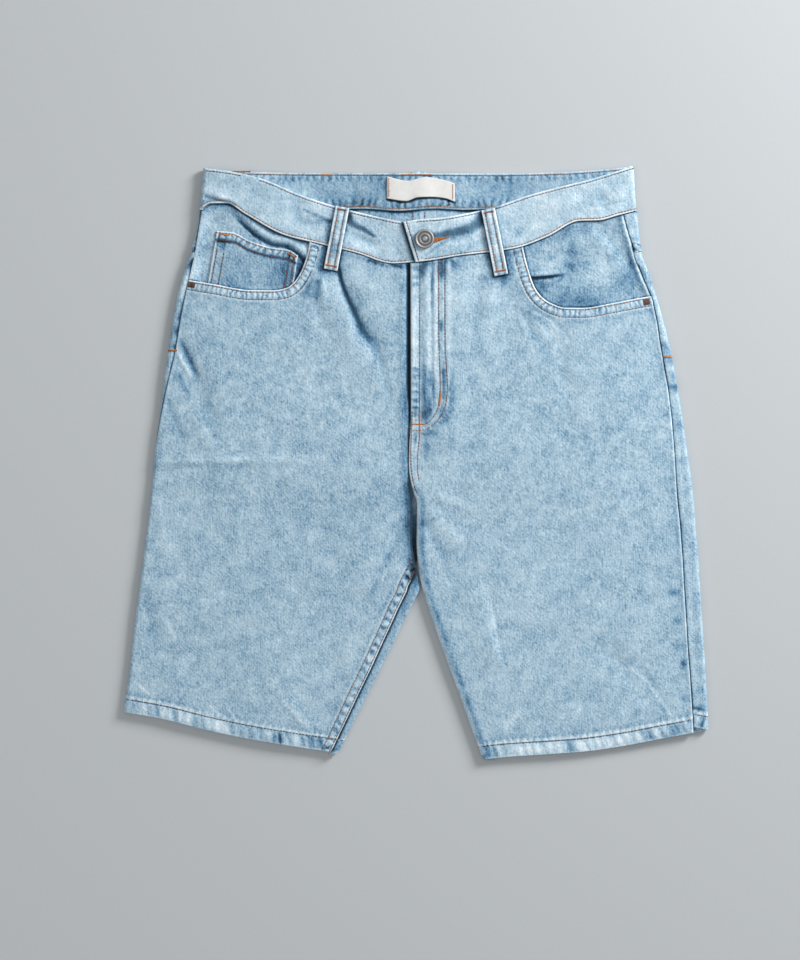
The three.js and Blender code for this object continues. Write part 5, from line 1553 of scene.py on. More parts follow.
# Wash patches of the band, and painted shadow round the belt loops.
BAND_WASH_AND_SHADE = {
    "left": [
        (120, 240, 90, 30, 0.22), (-0.6, 212.6, 3, 6, -0.7), (64, 214, 6, 8, -0.25),
        (89, 230, 3, 3.4, -0.6), (78.5, 247, 3, 3.6, -0.9), (62.5, 240.5, 3, 2.6, -1),
        (21, 227, 3, 3, -0.5), (172, 254, 6, 8, -0.45), (150, 246, 24, 6, -0.1),
        (20, 226, 10, 4, 0.2), (8, 204, 6, 4, 0.3), (190, 262, 5, 10, -0.2), (98, 222, 5, 4, -0.4),
    ],
    "right": [
        (-94, 231, 16, 2.4, -0.35), (-64, 240, 2.6, 4, -0.9), (-84, 212, 2.4, 8, -0.3),
        (-84, 226, 4, 8, -0.4), (-190, 252, 16, 2.2, -0.5), (-204, 246, 4, 5, -0.45),
        (-120, 246, 20, 6, -0.2), (-150, 262, 14, 5, -0.22), (-40, 208, 22, 5, 0.2),
        (-22, 222, 5, 9, 0.25), (-180, 272, 20, 4, -0.3), (-130, 232, 12, 5, 0.15),
    ],
    "back": [
        (0, 262, 300, 40, -0.52), (70, 252, 30, 5, -0.25), (-60, 250, 24, 5, -0.2),
        (-120, 272, 20, 5, -0.2),
    ],
}
# Streaks along lines: painted shade in the band's folds and below the label, and one painted highlight
# beside the buttonhole; line, width at start, width at end, amount.
BAND_SHADING_STREAKS = {
    "left": [
        (through([(15.4, 217), (26.9, 219.6), (38.4, 222), (49.9, 225.2), (59, 230.4), (61, 235)]),
         3.4, 6.2, -0.92),
        (through([(36.5, 216), (26.3, 211.4), (18, 206), (9.9, 199.9)]), 1.8, 1.8, -0.4),
        (through([(38, 211), (52, 214.5), (64, 221)]), 3.4, 4, 0.3),
        (through([(160, 250), (176, 247), (200, 252)]), 1.4, 1.4, -0.35),
    ],
    "right": [
        (through([(-64.9, 236), (-60, 229), (-50.9, 224.9), (-40.3, 217.9)]), 4, 1.8, -1),
        (through([(-107.9, 243.4), (-95, 237.4), (-83, 232.4)]), 1, 2, -0.7),
        (through([(-204.5, 257.3), (-190, 252.6), (-173.8, 247.7)]), 1.7, 0.9, -0.5),
        (through([(-204.5, 245.4), (-190, 243), (-176, 241.4)]), 1.3, 0.9, -0.4),
    ],
    "back": [
        (through([(-27.6, 253.2), (-9.6, 250.8), (2, 254.3), (16, 254.8), (27.6, 253.6), (37, 250.4)]),
         1.1, 1.1, -1),
    ],
}


def band_detail(half, x, y):
    """Relief, wash and painted shade, and puckers of one half of the band at places of its pattern."""
    seed = {"left": 61, "right": 67, "back": 71}[half]
    height, fade, marks = felt(BAND_SEAMS[half], x, y, seed)
    folds = creases(x, y, BAND_FOLDS[half])
    # Bumps and folds tint the band: paler where raised, partly rubbed wear and partly painted highlight,
    # darker in hollows as painted shade.
    for size, amount, step in ((30.0, 0.35, 1), (11.0, 0.28, 2), (5.0, 0.10, 3)):
        bump = amount * lattice(x, y, size, seed + step)
        height = height + bump
        fade = fade + 0.4 * bump
    fade = fade + 0.30 * np.clip(folds, -1, 1) + 0.8 * blotches(x, y, BAND_WASH_AND_SHADE[half])
    # Painted shade and highlight along the streaks, which are also dents in the cloth.
    for line, wide, wider, dark in BAND_SHADING_STREAKS[half]:
        off, along, _ = nearest(x, y, line)
        reach = wide + (wider - wide) * along / max(along.max(), 1.0)
        fade = fade + dark * bell(off, 0, reach, 4)
        height = height + 0.35 * dark * bell(off, 0, reach)
    # Painted shadow of the belt loops on the band.
    if half != "back":
        loop_shadow = loop_painted_shadow(x, y)
        height, fade = height - 0.2 * loop_shadow, fade - 0.9 * loop_shadow
    marks["fade"] = np.clip(fade, -1.4, 1.2)
    return height + folds, marks


def on_band(half, x, y, out):
    """Points on the flat front or back of the band, out from its middle."""
    height = band_detail(half, x, y)[0]
    if half == "back":
        return settle(x, y, BAND_FOLD_OUTER - BAND_FOLD + out + height)
    rise = overlap_rise(x) if half == "left" else 0.0
    return settle(x, y, BAND_FOLD_OUTER + BAND_FOLD + out + rise + height)

# %% Waistband
top, low = band_rows[:, None, :2], band_rows[:, None, 2:]
pattern = top + (low - top) * BAND_SHARES[None, :, None]
band_x, band_y = pattern[..., 0], pattern[..., 1]
band_height = np.zeros(band_x.shape)
band_marks = {name: np.zeros(band_x.shape) for name in ("along", "off", "pucker", "fade")}
for half in ("left", "right", "back"):
    chosen = band_half == half
    height, found = band_detail(half, band_x[chosen], band_y[chosen])
    band_height[chosen] = height
    for name, values in found.items():
        band_marks[name][chosen] = values
turn, side = band_turn[:, None], band_side[:, None]
rise = np.where((band_half == "left")[:, None] & (side == 0), overlap_rise(band_x), 0.0)


def band_face(radius):
    """One face of the band at a radius from its fold."""
    inward = side * (BAND_FOLD_OUTER - radius * np.cos(turn))
    return settle(band_x - inward, band_y, BAND_FOLD_OUTER + radius * np.sin(turn) + rise)


is_back = (band_half == "back")[:, None]
outside = np.where(is_back, np.minimum(-band_height, 0.0), band_height)
within = np.where(is_back, -band_height, np.minimum(band_height, 0.0))
band = shell("waistband_cloth", band_face(BAND_FOLD + BAND_THICK / 2 + outside),
             band_face(BAND_FOLD - BAND_THICK / 2 + within), band_marks, rim=0.15)
finish_with(band, DENIM_BAND)
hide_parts("waistband")
print("waistband lines and rows:", band_x.shape)

# %% [markdown]
# ## Belt loops
# A loop is a narrow pressed strip with two rows of stitches, bartacked at both ends and
# arched over the band. Its edges are rubbed pale, and it casts the sharpest small shadow.

# %% Front loops
LOOP_ARCH = 1.4
LOOP_SHARES = np.array([-1, -0.93, -0.84, -0.74, -0.6, -0.45, -0.3, -0.15, 0, 0.15, 0.3, 0.45,
                        0.6, 0.74, 0.84, 0.93, 1])


def on_loop(which, t, k, out):
    """A point of a front loop: t from its top to its foot, k across it, out from its middle."""
    x0, y0, x1, y1 = FRONT_LOOPS[which]
    long = math.hypot(x1 - x0, y1 - y0)
    across_x, across_y = (y1 - y0) / long, (x0 - x1) / long
    x = x0 + (x1 - x0) * t + across_x * k * LOOP_WIDTH / 2
    y = y0 + (y1 - y0) * t + across_y * k * LOOP_WIDTH / 2
    base = (BAND_FACE + LOOP_CLEAR + LOOP_ARCH * np.sin(math.pi * np.clip(t, 0, 1))
            - (BAND_FACE - TOP_FACE) * smooth((t - 0.8) / 0.2))
    rise = overlap_rise(x) if which == "left" else 0.0
    return settle(x, y, base + rise + LOOP_THICK / 2 + out)


def front_loop(which, seed):
    """One front belt loop, with its relief and marks."""
    t, k = np.meshgrid(np.linspace(0, 1, 54), LOOP_SHARES, indexing="ij")
    ridge = 0.30 * bell(k, 0, 0.25) - 0.30 * bell(np.abs(k), 0.5, 0.12)
    roll = -0.22 * smooth((np.abs(k) - 0.88) / 0.12)
    ends = -0.2 * bell(t, 0, 0.02) - 0.2 * bell(t, 1, 0.02)
    tacks = -0.3 * bell(t, 0.06, 0.02) - 0.3 * bell(t, 0.94, 0.02)
    bump = 0.14 * lattice(t * 60, k * 6, 5.0, seed)
    height = ridge + roll + ends + tacks + bump
    fade = 0.12 + (0.85 * bell(np.abs(k), 0.92, 0.14) - 0.35 * bell(np.abs(k), 0.5, 0.12)
            + 0.35 * bell(k, 0, 0.22) + 0.28 * lattice(t * 60, k * 6, 7.0, seed + 1)
            - 0.5 * spot(t, k, 0.70, 0.0, 0.10, 0.5))
    marks = {"fade": fade, "along": t * 11, "off": k * 6, "pucker": 0.20 * bell(k, 0, 0.6, 4)}
    name = "belt_loop_front_" + which
    made = shell(name + "_cloth", on_loop(which, t, k, LOOP_THICK / 2 + height),
                 on_loop(which, t, k, -LOOP_THICK / 2), marks, rim=0.12)
    finish_with(made, DENIM)
    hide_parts(name)
    return made


for number, which in enumerate(FRONT_LOOPS):
    front_loop(which, 81 + number)

# %% Back loops and back pockets, which lie under everything
def flat_piece(name, node_name, s, y, thick, marks):
    """A flat piece on the table with slightly rolled edges."""
    face = np.stack([s, y, np.full(s.shape, thick)], -1)
    back = np.stack([s, y, np.zeros(s.shape)], -1)
    made = shell(name, face, back, marks, rim=0.25)
    finish_with(made, DENIM)
    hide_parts(node_name)
    return made


POCKET_EDGE = {
    "shade": [(0.3, 0.7, 0.8), (2, -0.3, 0.6), (8.2, -0.35, 0.7), (5, 0.12, 2)],
    "bars": (0.5, 5, 3.2, 4),
}


def edge_marks(s, y, outline, seed):
    """Wear and stitch lines that follow a flat piece's outline."""
    _, fade, marks = felt([seam(outline, **POCKET_EDGE)], s, y, seed)
    marks["fade"] = fade + 0.2 * lattice(s, y, 18.0, seed)
    return marks


for place, at in BACK_LOOPS.items():
    t, k = np.meshgrid(np.linspace(0, 1, 30), np.linspace(-1, 1, 11), indexing="ij")
    s, y = at + k * LOOP_WIDTH / 2, BACK_LOOP_TOP - t * BACK_LOOP_LONG
    rim_x = at - LOOP_WIDTH / 2
    outline = np.array([[rim_x, BACK_LOOP_TOP], [rim_x, BACK_LOOP_TOP - BACK_LOOP_LONG]])
    flat_piece(f"belt_loop_back_{place}_cloth", f"belt_loop_back_{place}", s, y, LOOP_THICK,
               edge_marks(s, y, outline, 91))
for place, at in POCKET_AT.items():
    t, k = np.meshgrid(np.linspace(0, 1, 70), np.linspace(-1, 1, 60), indexing="ij")
    half = (POCKET_WIDE + (POCKET_NARROW - POCKET_WIDE) * t) / 2
    tall = POCKET_TALL + POCKET_POINT * (1 - np.abs(k))
    s, y = at + k * half, POCKET_TOP - t * tall
    upper, lower, foot = POCKET_WIDE / 2, POCKET_NARROW / 2, POCKET_TOP - POCKET_TALL
    rim_line = even(np.array([[at - upper, POCKET_TOP], [at - lower, foot],
                              [at, foot - POCKET_POINT], [at + lower, foot],
                              [at + upper, POCKET_TOP], [at - upper, POCKET_TOP]]), 2.0)
    flat_piece(f"back_pocket_{place}_cloth", f"back_pocket_{place}", s, y, CLOTH,
               edge_marks(s, y, rim_line, 95))

# %% [markdown]
# ## The blank label
# A woven label is sewn at both ends to the inside of the band, and waves between them. It
# carries no words here. Its cloth is a fine plain weave, off-white.

# %% Label material
label_finish, tree, shader = material("label_woven", srgb(233, 230, 226))
where = placed(tree)
cross = [sums(tree, "SINE", node(tree, "ShaderNodeVectorMath", {0: where, 1: direction},
                                operation="DOT_PRODUCT").outputs["Value"])
         for direction in ((9.0, 0.8, 0), (0.8, -9.0, 0))]
thread_height = sums(tree, "MULTIPLY", cross[0], cross[1])
stain = noise(tree, where, 0.12, 3.0)
stained = sums(tree, "MULTIPLY_ADD", stain, 0.5, 0.6)
tint = sums(tree, "MULTIPLY_ADD", thread_height, 0.05, stained, clamp=True)
white = ramp(tree, tint, [(0.2, srgb(190, 190, 187)), (0.6, srgb(222, 221, 218)),
                          (1.0, srgb(238, 237, 234))])
tree.links.new(white, shader.inputs["Base Color"])
bump = node(tree, "ShaderNodeBump", {"Height": thread_height, "Strength": 0.5,
                                     "Distance": 0.06 * MM})
tree.links.new(bump.outputs["Normal"], shader.inputs["Normal"])
shader.inputs["Roughness"].default_value = 0.85

# %% Label
LABEL_TOP = [(-27.6, 275.2), (-7.7, 270.9), (8.9, 274.6), (24.6, 272.3), (37.0, 268.4)]
LABEL_LOW = [(-27.6, 254.3), (-9.6, 251.9), (2.0, 255.4), (16.0, 255.8), (27.6, 254.6), (37.0, 251.4)]
LABEL_WAVE = 1.1
label_top, label_low = reader(LABEL_TOP), reader(LABEL_LOW)


def on_label(t, share, out):
    """A point of the label: t from its left end, share from top to bottom."""
    x = LABEL_TOP[0][0] + (LABEL_TOP[-1][0] - LABEL_TOP[0][0]) * t
    y = label_top(x) + (label_low(x) - label_top(x)) * share
    swell = np.sin(math.pi * t)
    wave = LABEL_WAVE * swell ** 2 + 0.5 * np.sin(2 * math.pi * (2.0 * t + 0.15)) * swell
    z = BAND_THICK + SEAM_GAP + np.maximum(wave, 0) * (0.3 + 0.7 * share)
    return settle(x, y, z + LIGHT_CLOTH / 2 + out)


t, share = np.meshgrid(np.linspace(0, 1, 90), np.linspace(0, 1, 30), indexing="ij")
label = shell("label_cloth", on_label(t, share, LIGHT_CLOTH / 2),
              on_label(t, share, -LIGHT_CLOTH / 2), {"fade": np.zeros(t.shape)}, rim=0.2)
finish_with(label, label_finish)
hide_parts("label")

# %% [markdown]
# ## The button
# A pressed shank button: a rolled rim, a groove, a raised ring and a small dome, in aged
# pewter. Spinning one profile round its axis gives all of it. The dark in the grooves comes
# from each point's distance from that axis, so it is the same in every view.

# %% Aged metal
pewter, tree, shader = material("pewter_aged", srgb(140, 146, 152))
where = placed(tree)
grain = noise(tree, where, 1.1, 4.0, 0.65)
grained = sums(tree, "MULTIPLY_ADD", grain, 0.8, 0.5)
worn = sums(tree, "MULTIPLY_ADD", mark(tree, "fade"), 0.5, grained, clamp=True)
grey = ramp(tree, worn, [(0.0, srgb(66, 68, 70)), (0.45, srgb(128, 129, 130)),
                         (1.0, srgb(196, 195, 194))])
tree.links.new(grey, shader.inputs["Base Color"])
tree.links.new(sums(tree, "MULTIPLY_ADD", grain, 0.5, 0.56, clamp=True), shader.inputs["Roughness"])
bump = node(tree, "ShaderNodeBump", {"Height": grain, "Strength": 0.4, "Distance": 0.2 * MM})
tree.links.new(bump.outputs["Normal"], shader.inputs["Normal"])
shader.inputs["Metallic"].default_value = 0.6

# %% Button
BUTTON_X, BUTTON_Y = 8.2, 214.9
PROFILE = through([
    (0, 2.85), (1.6, 2.8), (2.6, 2.35), (3.2, 2.05), (3.8, 2.45), (4.9, 2.7), (5.4, 2.35),
    (6, 2.15), (6.8, 2.1), (7.4, 2.5), (8.2, 2.85), (9, 2.3), (9.3, 1.4), (9, 0.5), (7.8, 0.1),
], 0.16)
PROFILE[0] = (0.02, 2.85)
BUTTON_SIDES = 72
around = np.linspace(0, 2 * math.pi, BUTTON_SIDES, endpoint=False)
button_foot = BAND_FACE + BAND_RISE + SEAM_GAP
button_base = settle(np.array([BUTTON_X]), np.array([BUTTON_Y]), np.array([button_foot]))[0, 2]
radius, tall = PROFILE[:, 0], PROFILE[:, 1]
count = len(radius)
rings = np.stack([BUTTON_X + radius[:, None] * np.cos(around),
                  BUTTON_Y + radius[:, None] * np.sin(around),
                  np.broadcast_to((button_base + tall)[:, None], (count, BUTTON_SIDES))], -1)
at = np.arange(count * BUTTON_SIDES).reshape(count, BUTTON_SIDES)
quads = np.stack([at[:-1], at[1:], np.roll(at[1:], -1, axis=1), np.roll(at[:-1], -1, axis=1)],
                 -1).reshape(-1, 4)
faces = [list(map(int, q)) for q in quads] + [list(map(int, at[0])), list(map(int, at[-1][::-1]))]
button = solid("button_metal", rings.reshape(-1, 3) * MM, faces)
groove = np.interp(radius, [0, 1.6, 3.2, 4.6, 6.5, 8.2, 9.3], [0.5, 0.3, -0.7, 0.35, -0.6, 0.8, -0.6])
button_fade = button.data.attributes.new("fade", "FLOAT", "POINT")
button_fade.data.foreach_set("value", np.repeat(groove, BUTTON_SIDES))
finish_with(button, pewter)
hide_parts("button")

# %% [markdown]
# ## Thread
# Every visible stitch is a short length of thread whose ends dip into the cloth. They are
# placed with the same functions that laid the cloth, so they follow each fold. The thread
# has faded unevenly, from orange to a pale tan, so each stitch carries its own shade.

# %% Thread material
thread, tree, shader = material("thread_tan", srgb(150, 108, 76))
where = placed(tree)
ply = sums(tree, "SINE", node(tree, "ShaderNodeVectorMath", {0: where, 1: (8.0, 8.0, 8.0)},
                             operation="DOT_PRODUCT").outputs["Value"])
fibre = noise(tree, where, 2.4, 2.0)
tone = sums(tree, "MULTIPLY_ADD", fibre, 0.35, mark(tree, "tone"), clamp=True)
tan = ramp(tree, tone, [(0.0, srgb(62, 46, 42)), (0.35, srgb(112, 76, 58)),
                        (0.65, srgb(158, 106, 68)), (1.0, srgb(196, 152, 112))])
tree.links.new(tan, shader.inputs["Base Color"])
bump = node(tree, "ShaderNodeBump", {"Height": ply, "Strength": 0.5, "Distance": 0.08 * MM})
tree.links.new(bump.outputs["Normal"], shader.inputs["Normal"])
shader.inputs["Roughness"].default_value = 0.7

orange, tree, shader = material("thread_orange", srgb(196, 116, 52))
where = placed(tree)
fibre = noise(tree, where, 2.4, 2.0)
tone = sums(tree, "MULTIPLY_ADD", fibre, 0.4, mark(tree, "tone"), clamp=True)
bright = ramp(tree, tone, [(0.0, srgb(112, 62, 30)), (0.5, srgb(178, 106, 46)),
                           (1.0, srgb(214, 150, 84))])
tree.links.new(bright, shader.inputs["Base Color"])
shader.inputs["Roughness"].default_value = 0.68

# %% Stitches
STITCH_PITCH, STITCH_GAP, THREAD_R = 3.1, 0.35, 0.37
ENDS = np.array([0.0, 0.12, 0.5, 0.88, 1.0])
THICK = np.array([0.45, 0.95, 1.05, 0.95, 0.45])
DIPS = np.array([-0.28, 0.0, 0.10, 0.0, -0.28])
THREAD_SIDES = 6
PER_STITCH = THREAD_SIDES * len(ENDS)


def stitches_along(line, pitch=STITCH_PITCH):
    """The two ends of every stitch along a line of the pattern."""
    run = np.concatenate([[0], np.cumsum(np.hypot(*np.diff(line, axis=0).T))])
    start = np.arange(0.2, run[-1] - pitch * 0.6, pitch)
    spots = [np.column_stack([np.interp(start + more, run, line[:, k]) for k in (0, 1)])
             for more in (0.0, pitch - STITCH_GAP)]
    return np.stack(spots, axis=1)


def bartack(x, y, angle, long=9.0, wide=2.2, count=18, taper=0.0):
    """The close crosswise stitches of a bartack, centred at a place and turned by an angle."""
    ahead = np.array([math.cos(angle), math.sin(angle)])
    aside = np.array([-ahead[1], ahead[0]])
    at = np.linspace(-0.5, 0.5, count)[:, None]
    half = wide / 2 * (1 - taper * (at + 0.5))
    lean = 0.25 * long / count
    middle = np.array([x, y]) + at * long * ahead
    return np.stack([middle - half * aside - lean * ahead, middle + half * aside + lean * ahead], axis=1)


def sew(name, runs, finish=None, seed=0, radius=THREAD_R):
    """One piece of thread from several runs: the laying function, the stitches, the tone."""
    random = np.random.default_rng(900 + seed)
    all_points, all_tones = [], []
    for place, ends, tone, up in runs:
        middle = ends[:, :1] + (ends[:, 1:] - ends[:, :1]) * ENDS[None, :, None]
        s, y = middle[..., 0], middle[..., 1]
        centre = place(s, y, up * (0.12 + 0.0 * s))
        away = place(s, y, up * (1.12 + 0.0 * s)) - centre
        away /= np.maximum(np.linalg.norm(away, axis=-1), 1e-6)[..., None]
        ahead = np.gradient(centre, axis=1)
        ahead /= np.maximum(np.linalg.norm(ahead, axis=-1), 1e-6)[..., None]
        aside = np.cross(away, ahead)
        thick = radius * THICK[None, :, None] * random.uniform(0.85, 1.12, (len(s), 1, 1))
        centre = centre + away * (DIPS[None, :, None] + random.uniform(-0.04, 0.04, (len(s), 1, 1)))
        turns = np.linspace(0, 2 * math.pi, THREAD_SIDES, endpoint=False)
        ring = (centre[:, :, None] + (thick * aside)[:, :, None] * 1.2 * np.cos(turns)[:, None]
                + (thick * away)[:, :, None] * np.sin(turns)[:, None])
        all_points.append(ring.reshape(-1, 3))
        slow = 0.16 * lattice(np.arange(len(s)) * 3.0, 0.0, 17.0, seed)
        own = tone + slow + random.uniform(-0.12, 0.12, len(s))
        all_tones.append(np.repeat(own, PER_STITCH))
    points, tones = np.vstack(all_points), np.concatenate(all_tones)
    number = len(points) // PER_STITCH
    at = np.arange(PER_STITCH).reshape(len(ENDS), THREAD_SIDES)
    quads = np.stack([at[:-1], np.roll(at[:-1], -1, 1), np.roll(at[1:], -1, 1), at[1:]],
                     -1).reshape(-1, 4)
    caps = np.array([[5, 4, 3, 2], [5, 2, 1, 0], [24, 25, 26, 27], [24, 27, 28, 29]])
    one = np.vstack([quads, caps])
    faces = (one[None] + PER_STITCH * np.arange(number)[:, None, None]).reshape(-1, 4)
    made = solid(name, points * MM, faces)
    made.data.attributes.new("tone", "FLOAT", "POINT").data.foreach_set("value", tones)
    made.data.materials.append(finish or thread)
    print(name, number, "stitches")
    return made

# %% [markdown]
# ### Where the stitches run
# The runs are the seams themselves, moved inward by a stitch's distance from the edge.
# Bartacks hold the corners of the pockets, the fly, the loops and the side seams.

# %% Stitches of the left front
def face_of(piece):
    """The laying function of a piece's face, for stitches."""
    half = piece["thick"] / 2
    return lambda s, y, out: lay(piece, s, y, np.where(out < 0, out - half, out + half))


on_left, on_right = face_of(front_left), face_of(front_right)


def seam_run(place, line, distance, tone=0.35, up=1, pitch=STITCH_PITCH):
    """Stitches at a distance beside a seam."""
    return (place, stitches_along(beside(line, distance) if distance else line, pitch), tone, up)


mouth_left_line = edge_line(mouth_left, 103.0, 222.5, 1.5)
mouth_right_line = edge_line(mouth_right, -218.0, -102.4, 1.5)
hem_left_line, hem_right_line = edge_line(hem_left, 66.0, 262.0), edge_line(hem_right, -276.0, -74.0)
sew("stitches_front_left", [
    seam_run(on_left, mouth_left_line, -2.0, 0.45), seam_run(on_left, mouth_left_line, -9.4, 0.30),
    seam_run(on_left, FLY_EDGE, 0, 0.42), seam_run(on_left, J_INNER, 0, 0.45),
    seam_run(on_left, J_OUTER, 0, 0.40), seam_run(on_left, CROTCH_LEFT, 0, 0.5),
    seam_run(on_left, hem_left_line, HEM_DEPTH - 0.4, 0.10),
    seam_run(on_left, CROTCH_EDGE, 0, 0.4),
], seed=1)
sew("bartacks_front_left", [
    (on_left, bartack(22.8, 61.0, math.pi / 2 - 0.12, 11.5, 2.2, 20), 0.5, 1),
    (on_left, bartack(3.4, 36.5, math.pi / 2, 22.0, 1.5, 34), 0.6, 1),
    (on_left, bartack(2.2, 37.2, 0.0, 12.0, 1.6, 20), 0.6, 1),
], finish=orange, seed=2)
sew("tacks_front_left", [(on_left, bartack(221.4, 154.6, 0.2, 5.4, 5.6, 10), 0.26, 1)], seed=20)

# %% Stitches of the right front
inseam_right_line = end_line(fly_under["end"], -104.0, -277.0)
sew("stitches_front_right", [
    seam_run(on_right, mouth_right_line, -2.0, 0.45), seam_run(on_right, mouth_right_line, -9.4, 0.25),
    seam_run(on_right, hem_right_line, HEM_DEPTH - 0.4, 0.12),
    seam_run(on_right, inseam_right_line, -1.3, 0.5), seam_run(on_right, inseam_right_line, -8.6, 0.45),
    seam_run(on_right, through([(-8.6, -103.0), (-6.4, -97.0), (-4.6, -91.0)]), 0, 0.35),
], seed=3)
sew("tacks_front_right", [(on_right, bartack(-215.6, 171.2, -0.15, 6.0, 6.0, 10), 0.18, 1)], seed=4)

# %% Stitches of the coin pocket and the backs
on_coin = face_of(coin_pocket)
coin_line = edge_line(coin_top, -193.0, -115.6)
sew("stitches_coin_pocket", [
    seam_run(on_coin, coin_line, -1.6, 0.5), seam_run(on_coin, coin_line, -8.4, 0.25),
    seam_run(on_coin, end_line(coin_left, 206.0, 168.0), 3.2, 0.3),
    seam_run(on_coin, end_line(coin_left, 204.0, 168.0), 10.2, 0.3),
    seam_run(on_coin, end_line(coin_right, 195.0, 162.0), -3.0, 0.35),
    seam_run(on_coin, end_line(coin_right, 194.0, 162.0), -8.2, 0.3),
], seed=5)
sew("bartacks_coin_pocket", [
    (on_coin, bartack(-184.0, 219.6, -0.1, 10.0, 1.5, 16), 0.7, 1),
    (on_coin, bartack(-120.0, 199.6, -0.5, 8.0, 1.6, 12), 0.35, 1),
], finish=orange, seed=6)
on_back_left, on_back_right = face_of(back_left), face_of(back_right)
on_yoke_left, on_yoke_right = face_of(yoke_left), face_of(yoke_right)
yoke_left_line, yoke_right_line = edge_line(yoke_seam, 6.0, 222.0), edge_line(yoke_seam, -214.0, 0.0)
sew("stitches_backs", [
    seam_run(on_back_left, edge_line(hem_left, 60.0, 294.0), HEM_DEPTH - 0.4, 0.15),
    seam_run(on_back_right, edge_line(hem_right, -268.0, -76.0), HEM_DEPTH - 0.4, 0.15),
    seam_run(on_yoke_left, yoke_left_line, 1.6, 0.35), seam_run(on_yoke_left, yoke_left_line, 8.0, 0.35),
    seam_run(on_yoke_right, yoke_right_line, 1.6, 0.35), seam_run(on_yoke_right, yoke_right_line, 8.0, 0.35),
    seam_run(on_yoke_left, through([(8.6, 242.0), (8.6, 200.0)]), 0, 0.5, -1),
    seam_run(on_yoke_right, through([(-2.9, 242.0), (-2.9, 200.0)]), 0, 0.5, -1),
], seed=7)
sew("bartacks_backs", [
    (on_back_left, bartack(250.4, 101.8, 0.0, 8.0, 1.8), 0.6, 1),
    (on_back_right, bartack(-244.0, 108.0, 0.0, 8.0, 1.8), 0.3, 1),
], finish=orange, seed=8)

# %% Stitches of the waistband
def on_half(half):
    """The laying function of a half of the band, for stitches."""
    return lambda x, y, out: on_band(half, x, y, out + BAND_THICK / 2)


LOW_TONE = 0.55
on_band_left, on_band_right, on_band_back = on_half("left"), on_half("right"), on_half("back")
sew("stitches_waistband", [
    seam_run(on_band_left, left_top[8:], -2.2, 0.30),
    seam_run(on_band_left, left_low[6:], 1.9, LOW_TONE),
    seam_run(on_band_right, right_top[right_top[:, 0] > FOLDED_UNTIL], -2.2, 0.30),
    seam_run(on_band_right, right_top[right_top[:, 0] < FOLDED_UNTIL - 16][2:], -2.2, 0.20),
    seam_run(on_band_right, right_low[2:-8], 1.9, LOW_TONE),
    seam_run(on_band_back, back_top[6:-6], 2.0, 0.5),
    seam_run(on_band_back, back_low[6:-6], -2.0, 0.7),
    seam_run(on_band_left, front_end, 3.0, 0.4),
], seed=9)
sew("buttonhole_waistband", [
    (on_band_left, bartack(22.0, 214.6, 0.2, 21.0, 7.4, 44, 0.92), 0.36, 1),
    (on_band_back, bartack(-168.0, 280.0, 0.0, 17.0, 1.6, 22), 0.35, 1),
    (on_band_back, bartack(-86.4, 277.0, 0.0, 9.0, 1.6, 14), 0.55, 1),
    (on_band_back, bartack(0.0, 276.8, 0.0, 28.0, 1.6, 34), 0.3, 1),
], finish=orange, seed=10)

# %% Stitches of the loops and the label
def loop_face(which):
    """The laying function of a loop in millimetres: along it, then across it."""
    return lambda s, y, out: on_loop(which, s / LOOP_LONG, y / (LOOP_WIDTH / 2),
                                     out + LOOP_THICK / 2)


LOOP_LONG = 62.0
loop_runs, loop_tacks = [], []
for which in FRONT_LOOPS:
    for across in (-LOOP_WIDTH / 4, LOOP_WIDTH / 4):
        row = np.array([[2.0, across], [LOOP_LONG - 2.0, across]])
        loop_runs.append((loop_face(which), stitches_along(row, 2.6), 0.5, 1))
    for along, long, tone in ((2.6, 8.0, 0.12), (58.2, 10.0, 0.42)):
        tack = bartack(along, 0.0, math.pi / 2, long, 1.5, 18)
        loop_tacks.append((loop_face(which), tack, tone, 1))
sew("stitches_loops", loop_runs, seed=11)
sew("bartacks_loops", loop_tacks, finish=orange, seed=12)


LABEL_LONG, LABEL_TALL = 64.6, 20.0


def label_face(s, y, out):
    """The laying function of the label in millimetres."""
    return on_label(s / LABEL_LONG, y / LABEL_TALL, out + LIGHT_CLOTH / 2)


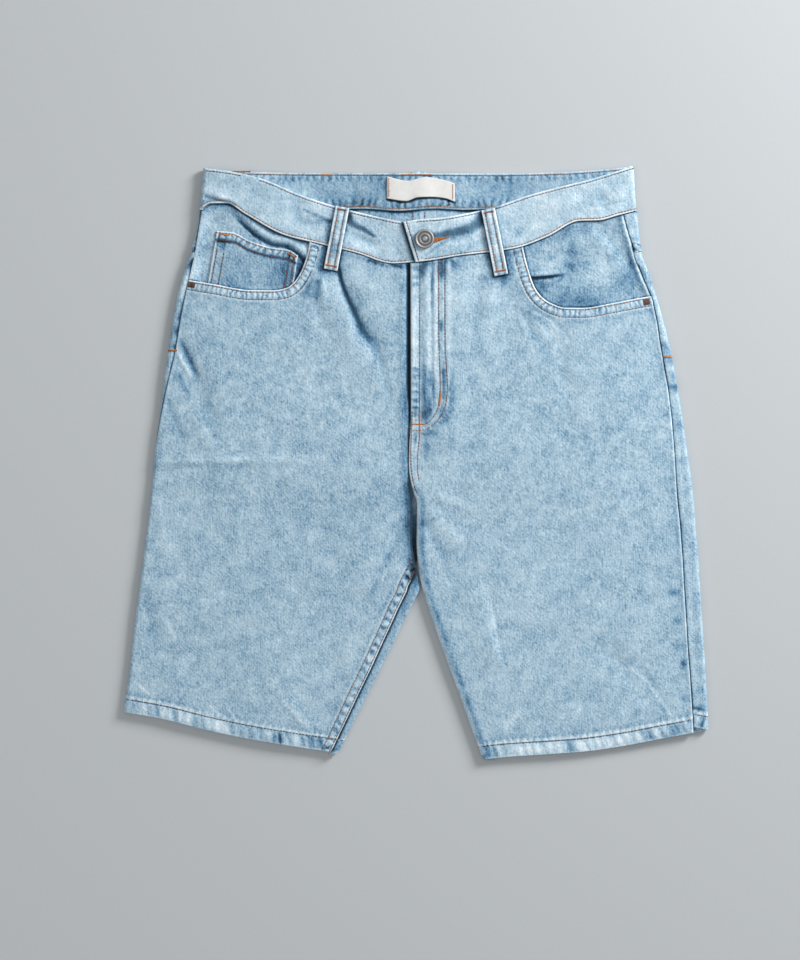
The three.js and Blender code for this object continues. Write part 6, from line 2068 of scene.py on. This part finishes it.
sew("stitches_label", [
    (label_face, stitches_along(np.array([[1.6, 0.8], [1.6, 19.4]]), 2.2), 0.6, 1),
    (label_face, stitches_along(np.array([[63.0, 0.8], [63.0, 19.4]]), 2.2), 0.6, 1),
], finish=orange, seed=13)

# %% [markdown]
# ## Table and light
# The shorts lie on a plain grey table. A large soft light stands low on the upper right, so
# each seam throws a small shadow down and to the left, and the sky fills the rest.

# %% Floor
FLOOR_SIZE = 6.0
FLOOR_DROP = -0.0003
floor_mesh = bpy.data.meshes.new("floor")
corners = [(x * FLOOR_SIZE, y * FLOOR_SIZE, FLOOR_DROP)
           for x, y in ((-1, -1), (1, -1), (1, 1), (-1, 1))]
floor_mesh.from_pydata(corners, [], [(0, 1, 2, 3)])
floor = bpy.data.objects.new("floor", floor_mesh)
bpy.context.scene.collection.objects.link(floor)
floor_finish, tree, shader = material("table_grey", srgb(190, 198, 202))
paper = noise(tree, placed(tree), 0.3, 3.0)
plain_grey = ramp(tree, sums(tree, "MULTIPLY_ADD", paper, 0.2, 0.5),
                  [(0.0, srgb(180, 184, 186)), (1.0, srgb(198, 202, 204))])
tree.links.new(plain_grey, shader.inputs["Base Color"])
shader.inputs["Roughness"].default_value = 0.95
shader.inputs["Specular IOR Level"].default_value = 0.1
floor_mesh.materials.append(floor_finish)

# %% Lights
scene = bpy.context.scene
scene.view_settings.view_transform = "Standard"
world = bpy.data.worlds.new("studio")
scene.world = world
world.use_nodes = True
world.node_tree.nodes["Background"].inputs["Color"].default_value = (0.96, 0.98, 1.0, 1.0)
world.node_tree.nodes["Background"].inputs["Strength"].default_value = 0.42


def area_light(name, place, size, power):
    """A soft square light aimed at the middle of the shorts."""
    data = bpy.data.lights.new(name, "AREA")
    data.size, data.energy = size, power
    made = bpy.data.objects.new(name, data)
    made.location = place
    aim = made.location.copy()
    aim.negate()
    made.rotation_euler = aim.to_track_quat("-Z", "Y").to_euler()
    bpy.context.scene.collection.objects.link(made)


area_light("key", (1.9, 1.5, 1.1), 0.9, 90.0)
area_light("fill", (-1.6, -0.6, 2.4), 2.4, 13.0)
